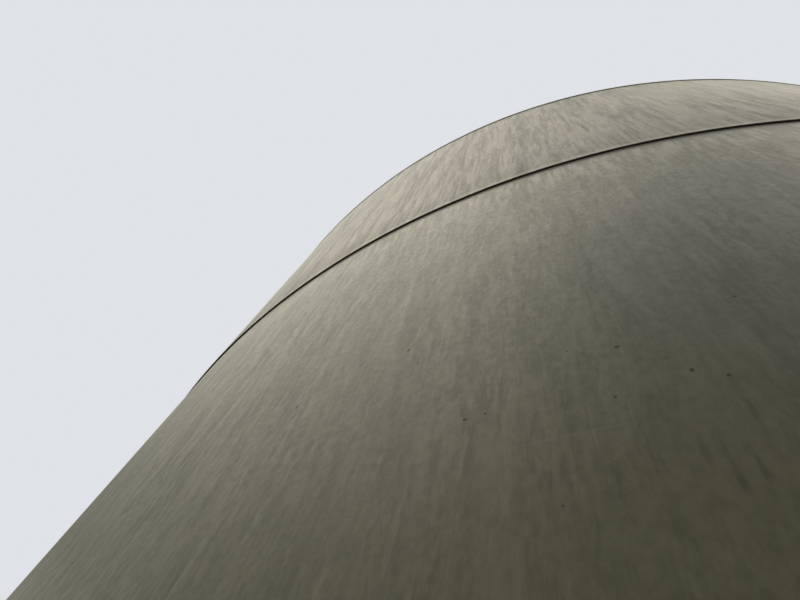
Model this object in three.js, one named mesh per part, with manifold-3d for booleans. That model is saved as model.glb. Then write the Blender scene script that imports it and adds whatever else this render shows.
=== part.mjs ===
// Smooth-wall hopper bottom grain bin, built from rolled and welded steel sheets.
// Millimetres, +Z up, origin on the ground under the middle of the bin.
// The ladder is at +X. The side that faces -Y is the plain wall.
import * as THREE from "three";
import { mergeVertices } from "three/addons/utils/BufferGeometryUtils.js";
import Module from "manifold-3d";

const wasm = await Module();
wasm.setup();

// Driving dimensions
const WALL_DIAMETER = 4266; // outside of the lower ring, 14 feet
const SHEET_HEIGHT = 1219; // one 4 foot sheet
const WALL_BOTTOM = 1890; // height of the wall's lower edge above the ground
const WELD_HEIGHT = 228; // the hopper is welded in this far above that edge
const HOPPER_SLOPE = 35; // degrees
const ROOF_SLOPE = 30; // degrees
const OUTLET_RADIUS = 203; // 16 inch discharge
const FILL_RADIUS = 305; // 24 inch fill opening
const LEG_COUNT = 8;

// Plate and section sizes
const WALL_SHEET = 3;
const HOPPER_SHEET = 4;
const ROOF_SHEET = 2;
const JOINT_GAP = 0.3; // between pieces that are welded or bolted face to face
const TUBE = 102; // square tube of the legs and the base ring
const RUNNER_WIDTH = 102;
const RUNNER_HEIGHT = 152;
const RUNNER_LENGTH = 4900;
const SIDES = 96; // flats round every rolled piece
const PAST = 1; // how far a cutter reaches past what it cuts
const MERGE_DISTANCE = 1e-3;

// Lap between the two wall rings, and the lip that hangs against the wall at the eave
const LAP_HEIGHT = 50;
const SEALANT_SPACE = 1.6;
const EAVE_LIP = JOINT_GAP + ROOF_SHEET;
const LIP_DROP = 12;

// Derived sizes
const LOWER_OUTER = WALL_DIAMETER / 2;
const LOWER_INNER = LOWER_OUTER - WALL_SHEET;
const UPPER_INNER = LOWER_OUTER + SEALANT_SPACE;
const UPPER_OUTER = UPPER_INNER + WALL_SHEET;
const SEAM_Z = WALL_BOTTOM + SHEET_HEIGHT;
const EAVE_Z = SEAM_Z + SHEET_HEIGHT;
const LIP_OUTER = UPPER_OUTER + EAVE_LIP;
const LEG_SPAN = 360 / LEG_COUNT;
const RING_TOP = RUNNER_HEIGHT + JOINT_GAP + TUBE;
const LEG_CLEARANCE = 3; // between the legs and the wall's skirt
const RING_MIDDLE = LOWER_INNER - LEG_CLEARANCE - TUBE / 2;

const rad = THREE.MathUtils.degToRad;
const hopperRise = Math.tan(rad(HOPPER_SLOPE));
const roofRise = Math.tan(rad(ROOF_SLOPE));

// Materials
function finish(color, roughness, metalness) {
  return new THREE.MeshStandardMaterial({ color, roughness, metalness });
}
const wallPaint = finish(0x9b9785, 0.6, 0.2);
const roofPaint = finish(0xa09c8c, 0.6, 0.2);
const framePaint = finish(0x8d8978, 0.6, 0.2);
const bareZinc = finish(0xa3a8aa, 0.45, 0.8);
const sealant = finish(0x1c1a17, 0.85, 0);
const clearPlastic = finish(0xc9d2d2, 0.15, 0);

// Solids from geometries, and back
function solidOf(geometry) {
  const plain = geometry.clone();
  plain.deleteAttribute("normal");
  plain.deleteAttribute("uv");
  const merged = mergeVertices(plain, MERGE_DISTANCE);
  return new wasm.Manifold(
    new wasm.Mesh({
      numProp: 3,
      vertProperties: merged.attributes.position.array,
      triVerts: new Uint32Array(merged.index.array),
    }),
  );
}

function geometryOf(solid) {
  const mesh = solid.getMesh();
  const geometry = new THREE.BufferGeometry();
  geometry.setAttribute("position", new THREE.BufferAttribute(mesh.vertProperties, 3));
  geometry.setIndex(new THREE.BufferAttribute(mesh.triVerts, 1));
  const faceted = geometry.toNonIndexed();
  faceted.computeVertexNormals();
  return faceted;
}

function joined(geometries) {
  return geometries.map(solidOf).reduce((whole, next) => whole.add(next));
}

// A closed profile of [radius, height] corners, anticlockwise, spun round the Z axis.
function spun(corners, sides = SIDES) {
  const points = [...corners, corners[0]].map(([r, z]) => new THREE.Vector2(r, z));
  return new THREE.LatheGeometry(points, sides).rotateX(Math.PI / 2);
}

// A profile that starts and ends on the axis, spun round it.
function turned(corners, sides = SIDES) {
  const points = corners.map(([r, z]) => new THREE.Vector2(r, z));
  return new THREE.LatheGeometry(points, sides).rotateX(Math.PI / 2);
}

// A thin upright pipe.
function pipe(outer, wall, lowZ, highZ, sides = SIDES) {
  const inner = outer - wall;
  return spun(
    [
      [inner, lowZ],
      [outer, lowZ],
      [outer, highZ],
      [inner, highZ],
    ],
    sides,
  );
}

// A full upright cylinder.
function plug(radius, lowZ, highZ, sides = SIDES) {
  const shape = new THREE.CylinderGeometry(radius, radius, highZ - lowZ, sides);
  return shape.rotateX(Math.PI / 2).translate(0, 0, (lowZ + highZ) / 2);
}

function box(x0, x1, y0, y1, z0, z1) {
  const shape = new THREE.BoxGeometry(x1 - x0, y1 - y0, z1 - z0);
  return shape.translate((x0 + x1) / 2, (y0 + y1) / 2, (z0 + z1) / 2);
}

// A round bar from one point to another.
function bar(from, to, radius, sides = 12) {
  const start = new THREE.Vector3(...from);
  const end = new THREE.Vector3(...to);
  const along = end.clone().sub(start);
  const rod = new THREE.CylinderGeometry(radius, radius, along.length(), sides);
  const turn = new THREE.Quaternion().setFromUnitVectors(
    new THREE.Vector3(0, 1, 0),
    along.clone().normalize(),
  );
  rod.applyQuaternion(turn);
  return rod.translate(...start.add(end).multiplyScalar(0.5).toArray());
}

const bin = new THREE.Group();

function place(name, geometry, material, azimuth = 0) {
  const mesh = new THREE.Mesh(geometry, material);
  mesh.name = name;
  mesh.rotation.z = rad(azimuth);
  bin.add(mesh);
}

// The part of a ring within span/2 degrees of +X, less half a weld gap at each side.
function sheetOf(ring, span, lowZ, highZ) {
  const half = rad(span / 2);
  const reach = 4 * LOWER_OUTER;
  const margin = 0.05; // so that the gap is never narrower than stated
  const tip = (JOINT_GAP / 2 + margin) / Math.sin(half);
  const far = tip + reach * Math.cos(half);
  const wide = reach * Math.sin(half);
  const outline = [
    [tip, 0],
    [far, -wide],
    [far, wide],
  ];
  const shape = new THREE.Shape(outline.map(([x, y]) => new THREE.Vector2(x, y)));
  const depth = highZ - lowZ + 2 * PAST;
  const wedge = new THREE.ExtrudeGeometry(shape, { depth, bevelEnabled: false });
  return ring.intersect(solidOf(wedge.translate(0, 0, lowZ - PAST)));
}

// Like sheets all the way round. The first is centred on the azimuth "first", and a cutter
// makes an opening in the sheet that it names.
function placeSheets(name, profile, { count, first, material, cutters = [] }) {
  const heights = profile.map(([, z]) => z);
  const span = 360 / count;
  const sheet = sheetOf(solidOf(spun(profile)), span, Math.min(...heights), Math.max(...heights));
  for (let i = 0; i < count; i += 1) {
    const azimuth = first + i * span;
    const cuts = cutters.filter((cutter) => cutter.sheet === i);
    const cut = cuts.reduce(
      (rest, cutter) => rest.subtract(solidOf(cutter.shape.clone().rotateZ(rad(-azimuth)))),
      sheet,
    );
    place(`${name}_${i + 1}`, geometryOf(cut), material, azimuth);
  }
}

// Skid: a square frame on the ground, its four sides under the eight legs.
const SKID_REACH = RING_MIDDLE * Math.cos(rad(LEG_SPAN / 2));

function buildSkid() {
  const half = RUNNER_LENGTH / 2;
  const slopeRun = 150;
  const noseHeight = 40;
  const outline = [
    [-half + slopeRun, 0],
    [half - slopeRun, 0],
    [half, RUNNER_HEIGHT - noseHeight],
    [half, RUNNER_HEIGHT],
    [-half, RUNNER_HEIGHT],
    [-half, RUNNER_HEIGHT - noseHeight],
  ];
  const shape = new THREE.Shape(outline.map(([x, z]) => new THREE.Vector2(x, z)));
  const runner = new THREE.ExtrudeGeometry(shape, { depth: RUNNER_WIDTH, bevelEnabled: false });
  runner.rotateX(Math.PI / 2).translate(0, RUNNER_WIDTH / 2, 0);
  place("skid_runner_left", runner.clone().translate(0, SKID_REACH, 0), framePaint);
  place("skid_runner_right", runner.clone().translate(0, -SKID_REACH, 0), framePaint);
  const reach = SKID_REACH - RUNNER_WIDTH / 2 - JOINT_GAP;
  const cross = box(-RUNNER_WIDTH / 2, RUNNER_WIDTH / 2, -reach, reach, 0, RUNNER_HEIGHT);
  place("skid_cross_front", cross.clone().translate(SKID_REACH, 0, 0), framePaint);
  place("skid_cross_rear", cross.clone().translate(-SKID_REACH, 0, 0), framePaint);
}

// Base ring: one rolled square tube that lies on the skid.
function buildBaseRing() {
  const low = RUNNER_HEIGHT + JOINT_GAP;
  place("base_ring", pipe(RING_MIDDLE + TUBE / 2, TUBE, low, RING_TOP), framePaint);
}

// Hopper: the outside of its cone, at the weld and at the outlet.
const CONE_TOP_Z = WALL_BOTTOM + WELD_HEIGHT;
const CONE_TOP_RADIUS = LOWER_INNER - JOINT_GAP;
const CONE_ACROSS = HOPPER_SHEET / Math.sin(rad(HOPPER_SLOPE)); // plate measured level
const CONE_LOW_RADIUS = OUTLET_RADIUS + CONE_ACROSS;
const CONE_LOW_Z = CONE_TOP_Z - (CONE_TOP_RADIUS - CONE_LOW_RADIUS) * hopperRise;
const HATCH_SHEET = 2;
const HATCH_AZIMUTH = 180;
const HATCH_RADIUS = 230;
const HATCH_DISTANCE = 1330; // from the bin's axis, measured level
const HATCH_SIDES = 48;

// Takes a shape made round the Z axis to the cone, with its +Z along the outward normal.
function ontoHopper(geometry) {
  const height = CONE_TOP_Z - (CONE_TOP_RADIUS - HATCH_DISTANCE) * hopperRise;
  geometry.rotateY(rad(180 - HOPPER_SLOPE)).translate(HATCH_DISTANCE, 0, height);
  return geometry.rotateZ(rad(HATCH_AZIMUTH));
}

function buildHopper() {
  const profile = [
    [CONE_LOW_RADIUS, CONE_LOW_Z],
    [CONE_TOP_RADIUS, CONE_TOP_Z],
    [CONE_TOP_RADIUS - CONE_ACROSS, CONE_TOP_Z],
    [CONE_LOW_RADIUS - CONE_ACROSS, CONE_LOW_Z],
  ];
  const depth = 60;
  const shape = ontoHopper(plug(HATCH_RADIUS, -depth, depth, HATCH_SIDES));
  placeSheets("hopper_sheet", profile, {
    count: 4,
    first: 0,
    material: wallPaint,
    cutters: [{ sheet: HATCH_SHEET, shape }],
  });
}

// Hatch in the hopper: a short round frame with a flange, and a flat bolted cover.
function buildHatch() {
  const wall = 5;
  const flangeWidth = 30;
  const outer = HATCH_RADIUS - JOINT_GAP;
  const inner = outer - wall;
  const flange = outer + flangeWidth;
  const inside = -20;
  const face = 34; // the flange stands this far out of the cone
  const plate = 5;
  const frame = spun(
    [
      [inner, inside],
      [outer, inside],
      [outer, face - plate],
      [flange, face - plate],
      [flange, face],
      [inner, face],
    ],
    HATCH_SIDES,
  );
  place("hatch_frame", ontoHopper(frame), framePaint);
  const seat = face + JOINT_GAP;
  place("hatch_cover", ontoHopper(plug(flange, seat, seat + plate, HATCH_SIDES)), framePaint);
}

// Everything inside the hopper's outer face, grown by a gap.
function hopperRoom(gap) {
  return solidOf(
    turned([
      [0, CONE_LOW_Z - gap],
      [CONE_LOW_RADIUS + gap, CONE_LOW_Z - gap],
      [CONE_TOP_RADIUS + gap, CONE_TOP_Z - gap],
      [CONE_TOP_RADIUS + gap, EAVE_Z],
      [0, EAVE_Z],
    ]),
  );
}

// Legs: square tubes on foot plates, cut at the top to the slope of the hopper.
function buildLegs() {
  const half = TUBE / 2;
  const foot = 75;
  const footPlate = 10;
  const low = RING_TOP + JOINT_GAP;
  const inner = RING_MIDDLE - half;
  const outer = RING_MIDDLE + half;
  const leg = joined([
    box(inner, outer, -half, half, low, CONE_TOP_Z),
    box(inner, outer, -foot, foot, low, low + footPlate),
  ]).subtract(hopperRoom(JOINT_GAP));
  for (let i = 0; i < LEG_COUNT; i += 1) {
    place(`leg_${i + 1}`, geometryOf(leg), framePaint, (i + 0.5) * LEG_SPAN);
  }
}

// Cross braces in every second bay: two pipes with a plate where they cross.
function buildBraces() {
  const radius = 21;
  const halfBay = RING_MIDDLE * Math.sin(rad(LEG_SPAN / 2));
  const across = RING_MIDDLE * Math.cos(rad(LEG_SPAN / 2));
  const aboveRing = 160;
  const belowWall = 150;
  const low = RING_TOP + aboveRing;
  const high = WALL_BOTTOM - belowWall;
  const middle = (low + high) / 2;
  const plate = 90; // half its side
  const plateOut = 8; // how far it stands out of the pipes
  const face = across + radius / 2;
  const cross = joined([
    bar([across, -halfBay, low], [across, halfBay, high], radius),
    bar([across, halfBay, low], [across, -halfBay, high], radius),
    box(face, across + radius + plateOut, -plate, plate, middle - plate, middle + plate),
  ]);
  const half = TUBE / 2 + JOINT_GAP;
  const legRoom = (side) =>
    box(RING_MIDDLE - half, RING_MIDDLE + half, -half, half, 0, EAVE_Z).rotateZ(
      rad((side * LEG_SPAN) / 2),
    );
  const pieces = cross.subtract(joined([legRoom(1), legRoom(-1)])).decompose();
  const trimmed = pieces.sort((a, b) => b.volume() - a.volume())[0];
  for (let i = 0; i < LEG_COUNT / 2; i += 1) {
    place(`cross_brace_${i + 1}`, geometryOf(trimmed), framePaint, (2 * i + 1) * LEG_SPAN);
  }
}

// Discharge: a round spout on a square flange.
const SPOUT_HEIGHT = 62;
const SPOUT_LOW = CONE_LOW_Z - SPOUT_HEIGHT;
const FLANGE_HALF = 290;

function buildDischarge() {
  const flange = 8;
  const wall = 4;
  const outer = OUTLET_RADIUS + wall;
  const plate = box(-FLANGE_HALF, FLANGE_HALF, -FLANGE_HALF, FLANGE_HALF, SPOUT_LOW, SPOUT_LOW + flange);
  const body = joined([plug(outer, SPOUT_LOW, CONE_LOW_Z - JOINT_GAP), plate]);
  const bore = solidOf(plug(OUTLET_RADIUS, SPOUT_LOW - PAST, CONE_LOW_Z + PAST));
  place("discharge_spout", geometryOf(body.subtract(bore)), framePaint);
}

// Slide gate under the spout: it opens towards +Y, moved by two racks and a cross shaft.
const GATE_TOP = SPOUT_LOW - JOINT_GAP;
const GATE_RAIL = 40;
const GATE_RISE = 30;
const GATE_SHELF = 5;
const SHELF_RISE = 1; // how far the shelf stands up between the guides
const GATE_RUN = 660; // how far the guides reach past the flange
const SHAFT_Y = 420;
const SHAFT_Z = GATE_TOP + 22;
const SHAFT_RADIUS = 14;
const SHAFT_SIDES = 16;
const RACK_X = 227.5;
const RACK_WIDTH = 25;

function buildGateFrame() {
  const low = GATE_TOP - GATE_RISE;
  const inner = FLANGE_HALF - GATE_RAIL;
  const end = FLANGE_HALF + GATE_RUN;
  const ear = 15;
  const earWidth = 30;
  const ears = [-1, 1].map((side) => {
    const x = side * (FLANGE_HALF - GATE_RAIL / 2);
    return box(x - ear, x + ear, SHAFT_Y - earWidth, SHAFT_Y + earWidth, low, SHAFT_Z + earWidth);
  });
  const frame = joined([
    box(-FLANGE_HALF, -inner, -FLANGE_HALF, end, low, GATE_TOP),
    box(inner, FLANGE_HALF, -FLANGE_HALF, end, low, GATE_TOP),
    box(-FLANGE_HALF, FLANGE_HALF, end - GATE_RAIL, end, low, GATE_TOP),
    box(-FLANGE_HALF, FLANGE_HALF, -FLANGE_HALF, -inner, low, GATE_TOP),
    box(-FLANGE_HALF, FLANGE_HALF, -FLANGE_HALF, FLANGE_HALF, low - GATE_SHELF, low + SHELF_RISE),
    ...ears,
  ]);
  const mouth = plug(OUTLET_RADIUS, low - GATE_SHELF - PAST, low + SHELF_RISE + PAST);
  const reach = FLANGE_HALF + ear;
  const bearing = bar(
    [-reach, SHAFT_Y, SHAFT_Z],
    [reach, SHAFT_Y, SHAFT_Z],
    SHAFT_RADIUS + JOINT_GAP,
    SHAFT_SIDES,
  );
  const bored = frame.subtract(solidOf(mouth)).subtract(solidOf(bearing));
  place("gate_frame", geometryOf(bored), bareZinc);
}

function buildGateBlade() {
  const low = GATE_TOP - GATE_RISE + SHELF_RISE + JOINT_GAP;
  const blade = 6;
  const rackHeight = 12;
  const pastShaft = 30;
  const reach = FLANGE_HALF - GATE_RAIL - JOINT_GAP;
  const end = SHAFT_Y + pastShaft;
  const rackOuter = RACK_X + RACK_WIDTH / 2;
  const rackInner = RACK_X - RACK_WIDTH / 2;
  const plate = joined([
    box(-reach, reach, -reach, end, low, low + blade),
    box(-rackOuter, -rackInner, 0, end, low, low + blade + rackHeight),
    box(rackInner, rackOuter, 0, end, low, low + blade + rackHeight),
  ]);
  place("gate_blade", geometryOf(plate), bareZinc);
}

function buildGateWheel() {
  const reach = 900;
  const shaftEnd = 20; // how far the shaft's short end stands out of its bearing
  const wheelX = 880;
  const wheelRadius = 180;
  const rimRadius = 11;
  const rimSides = 8;
  const rimSteps = 32;
  const armRadius = 8;
  const armSides = 8;
  const hubHalf = 20;
  const pinionRadius = 30;
  const pinionHalf = 11;
  const along = (x0, x1, radius) =>
    bar([x0, SHAFT_Y, SHAFT_Z], [x1, SHAFT_Y, SHAFT_Z], radius, SHAFT_SIDES);
  const rim = new THREE.TorusGeometry(wheelRadius, rimRadius, rimSides, rimSteps)
    .rotateY(Math.PI / 2)
    .translate(wheelX, SHAFT_Y, SHAFT_Z);
  const arms = [45, 135].map((turn) => {
    const y = wheelRadius * Math.cos(rad(turn));
    const z = wheelRadius * Math.sin(rad(turn));
    const from = [wheelX, SHAFT_Y - y, SHAFT_Z - z];
    return bar(from, [wheelX, SHAFT_Y + y, SHAFT_Z + z], armRadius, armSides);
  });
  const pinions = [-RACK_X, RACK_X].map((x) => along(x - pinionHalf, x + pinionHalf, pinionRadius));
  const wheel = joined([
    along(-FLANGE_HALF - shaftEnd, reach, SHAFT_RADIUS),
    along(wheelX - hubHalf, wheelX + hubHalf, 2 * SHAFT_RADIUS),
    ...pinions,
    rim,
    ...arms,
  ]);
  place("gate_wheel", geometryOf(wheel), bareZinc);
}

// Wall: two rings of three sheets, the upper ring lapped outside the lower one.
const LOWER_FIRST = 30; // azimuth of the middle of the first sheet
const UPPER_FIRST = 52.5;
const WINDOW_AZIMUTH = 13.125;
const WINDOW_RADIUS = 75;
const WINDOW_SIDES = 32;
const LOWER_WINDOW_Z = WALL_BOTTOM + 560;
const UPPER_WINDOW_Z = EAVE_Z - 320;

function ringProfile(outer, lowZ, highZ) {
  return [
    [outer - WALL_SHEET, lowZ],
    [outer, lowZ],
    [outer, highZ],
    [outer - WALL_SHEET, highZ],
  ];
}

function buildWall() {
  const lapTop = SEAM_Z + LAP_HEIGHT;
  const depth = 100;
  const windowHole = (z) => ({
    sheet: 0,
    shape: plug(WINDOW_RADIUS, -depth, depth, WINDOW_SIDES)
      .rotateY(Math.PI / 2)
      .translate(LOWER_OUTER, 0, z)
      .rotateZ(rad(WINDOW_AZIMUTH)),
  });
  placeSheets("lower_wall", ringProfile(LOWER_OUTER, WALL_BOTTOM, lapTop), {
    count: 3,
    first: LOWER_FIRST,
    material: wallPaint,
    cutters: [windowHole(LOWER_WINDOW_Z)],
  });
  placeSheets("upper_wall", ringProfile(UPPER_OUTER, SEAM_Z, EAVE_Z), {
    count: 3,
    first: UPPER_FIRST,
    material: wallPaint,
    cutters: [windowHole(UPPER_WINDOW_Z)],
  });
  const tape = SEALANT_SPACE - 2 * JOINT_GAP;
  const low = SEAM_Z + 1; // just inside the lap
  place("seam_sealant", pipe(UPPER_INNER - JOINT_GAP, tape, low, lapTop), sealant);
}

// Level windows: one clear moulding each, a plug in the wall with a flange outside it.
function buildWindow(name, z, wallRadius) {
  const hub = WINDOW_RADIUS - JOINT_GAP;
  const flange = WINDOW_RADIUS + 22;
  const inside = -6;
  const seat = 1;
  const flangeFace = 7;
  const dome = { foot: hub - 8, footHeight: 11, shoulder: 0.6 * hub, shoulderHeight: 25, top: 31 };
  const moulding = turned(
    [
      [0, inside],
      [hub, inside],
      [hub, seat],
      [flange, seat],
      [flange, flangeFace],
      [dome.foot, dome.footHeight],
      [dome.shoulder, dome.shoulderHeight],
      [0, dome.top],
    ],
    WINDOW_SIDES,
  );
  moulding.rotateY(Math.PI / 2).translate(wallRadius, 0, z).rotateZ(rad(WINDOW_AZIMUTH));
  place(name, moulding, clearPlastic);
}

// Roof: a cone of four sheets with a turned-down lip at the eave.
const ROOF_DROP = ROOF_SHEET / Math.cos(rad(ROOF_SLOPE)); // plate measured upright
const LIP_TOP = EAVE_Z + JOINT_GAP + ROOF_DROP - EAVE_LIP * roofRise;
const ROOF_TOP = LIP_TOP + (LIP_OUTER - FILL_RADIUS) * roofRise;
const VENT_SHEET = 2;
const VENT_AZIMUTH = 160;
const VENT_DISTANCE = 1100;
const VENT_RADIUS = 125;
const VENT_SIDES = 32;

function roofHeight(distance) {
  return LIP_TOP + (LIP_OUTER - distance) * roofRise;
}

function buildRoof() {
  const lipInner = LIP_OUTER - ROOF_SHEET;
  const profile = [
    [LIP_OUTER, LIP_TOP - LIP_DROP],
    [LIP_OUTER, LIP_TOP],
    [FILL_RADIUS, ROOF_TOP],
    [FILL_RADIUS, ROOF_TOP - ROOF_DROP],
    [lipInner, LIP_TOP + ROOF_SHEET * roofRise - ROOF_DROP],
    [lipInner, LIP_TOP - LIP_DROP],
  ];
  const middle = roofHeight(VENT_DISTANCE);
  const depth = 300;
  const shape = plug(VENT_RADIUS, middle - depth, middle + depth, VENT_SIDES)
    .translate(VENT_DISTANCE, 0, 0)
    .rotateZ(rad(VENT_AZIMUTH));
  placeSheets("roof_sheet", profile, {
    count: 4,
    first: 0,
    material: roofPaint,
    cutters: [{ sheet: VENT_SHEET, shape }],
  });
}

// Vent: an upright pipe through the roof, with a round cap on three straps.
function buildVent() {
  const sheet = 3;
  const inside = 30; // how far the pipe reaches below the roof
  const rise = 190; // from the roof, at the pipe's middle, to the pipe's top
  const outer = VENT_RADIUS - JOINT_GAP;
  const middle = roofHeight(VENT_DISTANCE);
  const low = middle - VENT_RADIUS * roofRise - inside;
  const top = middle + rise;
  const capRadius = VENT_RADIUS + 75;
  const skirt = 30; // how far the cap's skirt hangs below the pipe's top
  const capEdge = 10;
  const capPeak = 40;
  const cap = turned(
    [
      [0, top + capPeak],
      [capRadius - sheet, top + capEdge],
      [capRadius - sheet, top - skirt],
      [capRadius, top - skirt],
      [capRadius, top + capEdge + sheet],
      [0, top + capPeak + 2 * sheet],
    ],
    VENT_SIDES,
  );
  const strap = { inner: outer - 6, outer: outer - 1, half: 15, below: 80, above: 25 };
  const straps = [0, 120, 240].map((turn) => {
    const { half, below, above } = strap;
    return box(strap.inner, strap.outer, -half, half, top - below, top + above).rotateZ(rad(turn));
  });
  const vent = joined([pipe(outer, sheet, low, top, VENT_SIDES), cap, ...straps]);
  place("roof_vent", geometryOf(vent).translate(VENT_DISTANCE, 0, 0), bareZinc, VENT_AZIMUTH);
}

// Fill opening: a round collar through the roof, and a shallow lid with a handle.
const COLLAR_TOP = ROOF_TOP + 150;
const FILL_SIDES = 48;

function buildFill() {
  const collarWall = 4;
  const inside = 60; // how far the collar reaches below the roof's top edge
  const outer = FILL_RADIUS - JOINT_GAP;
  const collar = pipe(outer, collarWall, ROOF_TOP - inside, COLLAR_TOP, FILL_SIDES);
  place("fill_collar", collar, framePaint);
  const skirt = 50;
  const reach = FILL_RADIUS + 14;
  const sheet = 3;
  const seat = COLLAR_TOP + JOINT_GAP;
  const crown = 40;
  const rimWidth = 20;
  const lid = turned(
    [
      [0, seat + crown],
      [outer - rimWidth, seat],
      [reach - sheet, seat],
      [reach - sheet, seat - skirt],
      [reach, seat - skirt],
      [reach, seat + sheet],
      [outer - rimWidth, seat + sheet],
      [0, seat + crown + sheet],
    ],
    FILL_SIDES,
  );
  const sunk = 10;
  const gripRise = 45;
  const foot = seat + crown - sunk;
  const top = seat + crown + gripRise;
  const half = 60;
  const rod = 8;
  const rodSides = 8;
  const grip = [
    bar([0, -half, foot], [0, -half, top], rod, rodSides),
    bar([0, half, foot], [0, half, top], rod, rodSides),
    bar([0, -half - rod, top], [0, half + rod, top], rod, rodSides),
  ];
  place("fill_lid", geometryOf(joined([lid, ...grip])), roofPaint);
}

// Ladders: flat bar rails with round rungs. The wall ladder stands off on brackets.
const RUNG_PITCH = 305;
const RUNG_RADIUS = 11;
const RUNG_SIDES = 8;
const RAIL_Y = 200;
const RAIL_THICK = 10;
const RAIL_DEPTH = 50;
const LADDER_X = LOWER_OUTER + 200;

// Calls a maker for the left and the right rail, with the two faces of each.
function bothRails(maker) {
  return [-1, 1].map((side) =>
    maker(side * RAIL_Y - RAIL_THICK / 2, side * RAIL_Y + RAIL_THICK / 2),
  );
}

// A rung between the rails.
function rung(x, z) {
  return bar([x, -RAIL_Y, z], [x, RAIL_Y, z], RUNG_RADIUS, RUNG_SIDES);
}

function buildWallLadder() {
  const belowRing = 90;
  const aboveEave = 330;
  const firstRung = 120;
  const lastRung = 60;
  const low = RING_TOP - belowRing;
  const high = EAVE_Z + aboveEave;
  const half = RAIL_DEPTH / 2;
  const pieces = bothRails((y0, y1) => box(LADDER_X - half, LADDER_X + half, y0, y1, low, high));
  for (let z = low + firstRung; z < high - lastRung; z += RUNG_PITCH) {
    pieces.push(rung(LADDER_X, z));
  }
  const bracket = 50;
  const inside = RING_MIDDLE - bracket;
  const undersides = [low + 20, WALL_BOTTOM + 60, SEAM_Z - 300, SEAM_Z + 400, EAVE_Z - 160];
  for (const z of undersides) {
    pieces.push(...bothRails((y0, y1) => box(inside, LADDER_X, y0, y1, z, z + bracket)));
  }
  const gap = JOINT_GAP;
  const margin = 50; // the room starts this far below each ring, clear of the brackets
  const room = turned([
    [0, 0],
    [RING_MIDDLE + TUBE / 2 + gap, 0],
    [RING_MIDDLE + TUBE / 2 + gap, WALL_BOTTOM - margin],
    [LOWER_OUTER + gap, WALL_BOTTOM - margin],
    [LOWER_OUTER + gap, SEAM_Z - margin],
    [UPPER_OUTER + gap, SEAM_Z - margin],
    [UPPER_OUTER + gap, EAVE_Z],
    [0, EAVE_Z],
  ]);
  place("wall_ladder", geometryOf(joined(pieces).subtract(solidOf(room))), bareZinc);
}

// The roof ladder is made level along X, then tipped to the slope at the eave.
function buildRoofLadder() {
  const margin = 60; // from the eave and from the collar
  const start = LIP_OUTER - margin;
  const length = (start - FILL_RADIUS - margin) / Math.cos(rad(ROOF_SLOPE));
  const clear = 70; // the rails' height above the roof
  const railHeight = 40;
  const rungZ = clear + railHeight / 2;
  const firstRung = 150;
  const lastRung = 60;
  const pieces = bothRails((y0, y1) => box(-length, 0, y0, y1, clear, clear + railHeight));
  for (let x = -firstRung; x > -length + lastRung; x -= RUNG_PITCH) {
    pieces.push(rung(x, rungZ));
  }
  const foot = { inset: 120, half: 20, sunk: 80, into: 5 };
  for (const x of [-foot.inset, -length / 2, -length + foot.inset]) {
    const [x0, x1] = [x - foot.half, x + foot.half];
    pieces.push(...bothRails((y0, y1) => box(x0, x1, y0, y1, -foot.sunk, clear + foot.into)));
  }
  const tipped = pieces.map((piece) =>
    piece.rotateY(rad(ROOF_SLOPE)).translate(start, 0, roofHeight(start)),
  );
  const room = turned([
    [0, 0],
    [LIP_OUTER + JOINT_GAP, 0],
    [LIP_OUTER + JOINT_GAP, LIP_TOP + JOINT_GAP],
    [0, roofHeight(0) + 2 * JOINT_GAP],
  ]);
  place("roof_ladder", geometryOf(joined(tipped).subtract(solidOf(room))), bareZinc);
}

buildSkid();
buildBaseRing();
buildLegs();
buildBraces();
buildHopper();
buildHatch();
buildDischarge();
buildGateFrame();
buildGateBlade();
buildGateWheel();
buildWall();
buildWindow("level_window_lower", LOWER_WINDOW_Z, LOWER_OUTER);
buildWindow("level_window_upper", UPPER_WINDOW_Z, UPPER_OUTER);
buildRoof();
buildVent();
buildFill();
buildWallLadder();
buildRoofLadder();

export default bin;
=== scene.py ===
"""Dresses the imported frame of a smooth-wall hopper bottom grain bin.

The frame is in metres, +Z up, with the ground at zero and the bin's axis on Z. The
ladder is at +X, and the plain wall that the camera looks up at faces -Y. Sizes in the
classes are millimetres, as in the part's source, and each mesh is cast in metres. The
paint's sizes are metres, as its nodes read them.
"""

import logging
import math
from collections.abc import Callable, Iterable, Sequence
from dataclasses import dataclass
from enum import Enum
from typing import Any

import bmesh
import bpy
from mathutils import Matrix, Vector, noise


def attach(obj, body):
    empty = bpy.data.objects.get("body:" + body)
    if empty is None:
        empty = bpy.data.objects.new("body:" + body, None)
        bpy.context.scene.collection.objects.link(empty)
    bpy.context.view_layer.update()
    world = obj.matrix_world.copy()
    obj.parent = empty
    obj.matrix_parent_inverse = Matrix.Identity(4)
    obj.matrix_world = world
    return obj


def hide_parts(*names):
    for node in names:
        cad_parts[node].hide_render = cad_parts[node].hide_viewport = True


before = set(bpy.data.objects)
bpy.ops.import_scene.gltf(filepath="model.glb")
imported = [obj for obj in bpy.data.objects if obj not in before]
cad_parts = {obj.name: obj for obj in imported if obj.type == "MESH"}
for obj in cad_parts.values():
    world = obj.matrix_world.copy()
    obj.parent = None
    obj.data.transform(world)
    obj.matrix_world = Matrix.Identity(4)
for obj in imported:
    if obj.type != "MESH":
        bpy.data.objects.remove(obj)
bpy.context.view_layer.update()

LOG = logging.getLogger("grain_bin")
BODY = "root"
MM = 0.001
SIDES = 384  # flats round the large rolled pieces
GAP = 0.3  # between a piece and the one that it sits in or on
PRESSED = 0.8  # how far the rolled sheets lie inside true rings
WAVE, RIPPLE = 0.55, 0.25  # how far their long and their short waves go
ON_AXIS = 1e-6  # a smaller radius lies on the axis
MOST_EASE = 0.45  # of a side that is rounded at both ends
SMOOTH_ANGLE = math.radians(32)  # faces that meet at less look like one
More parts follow.
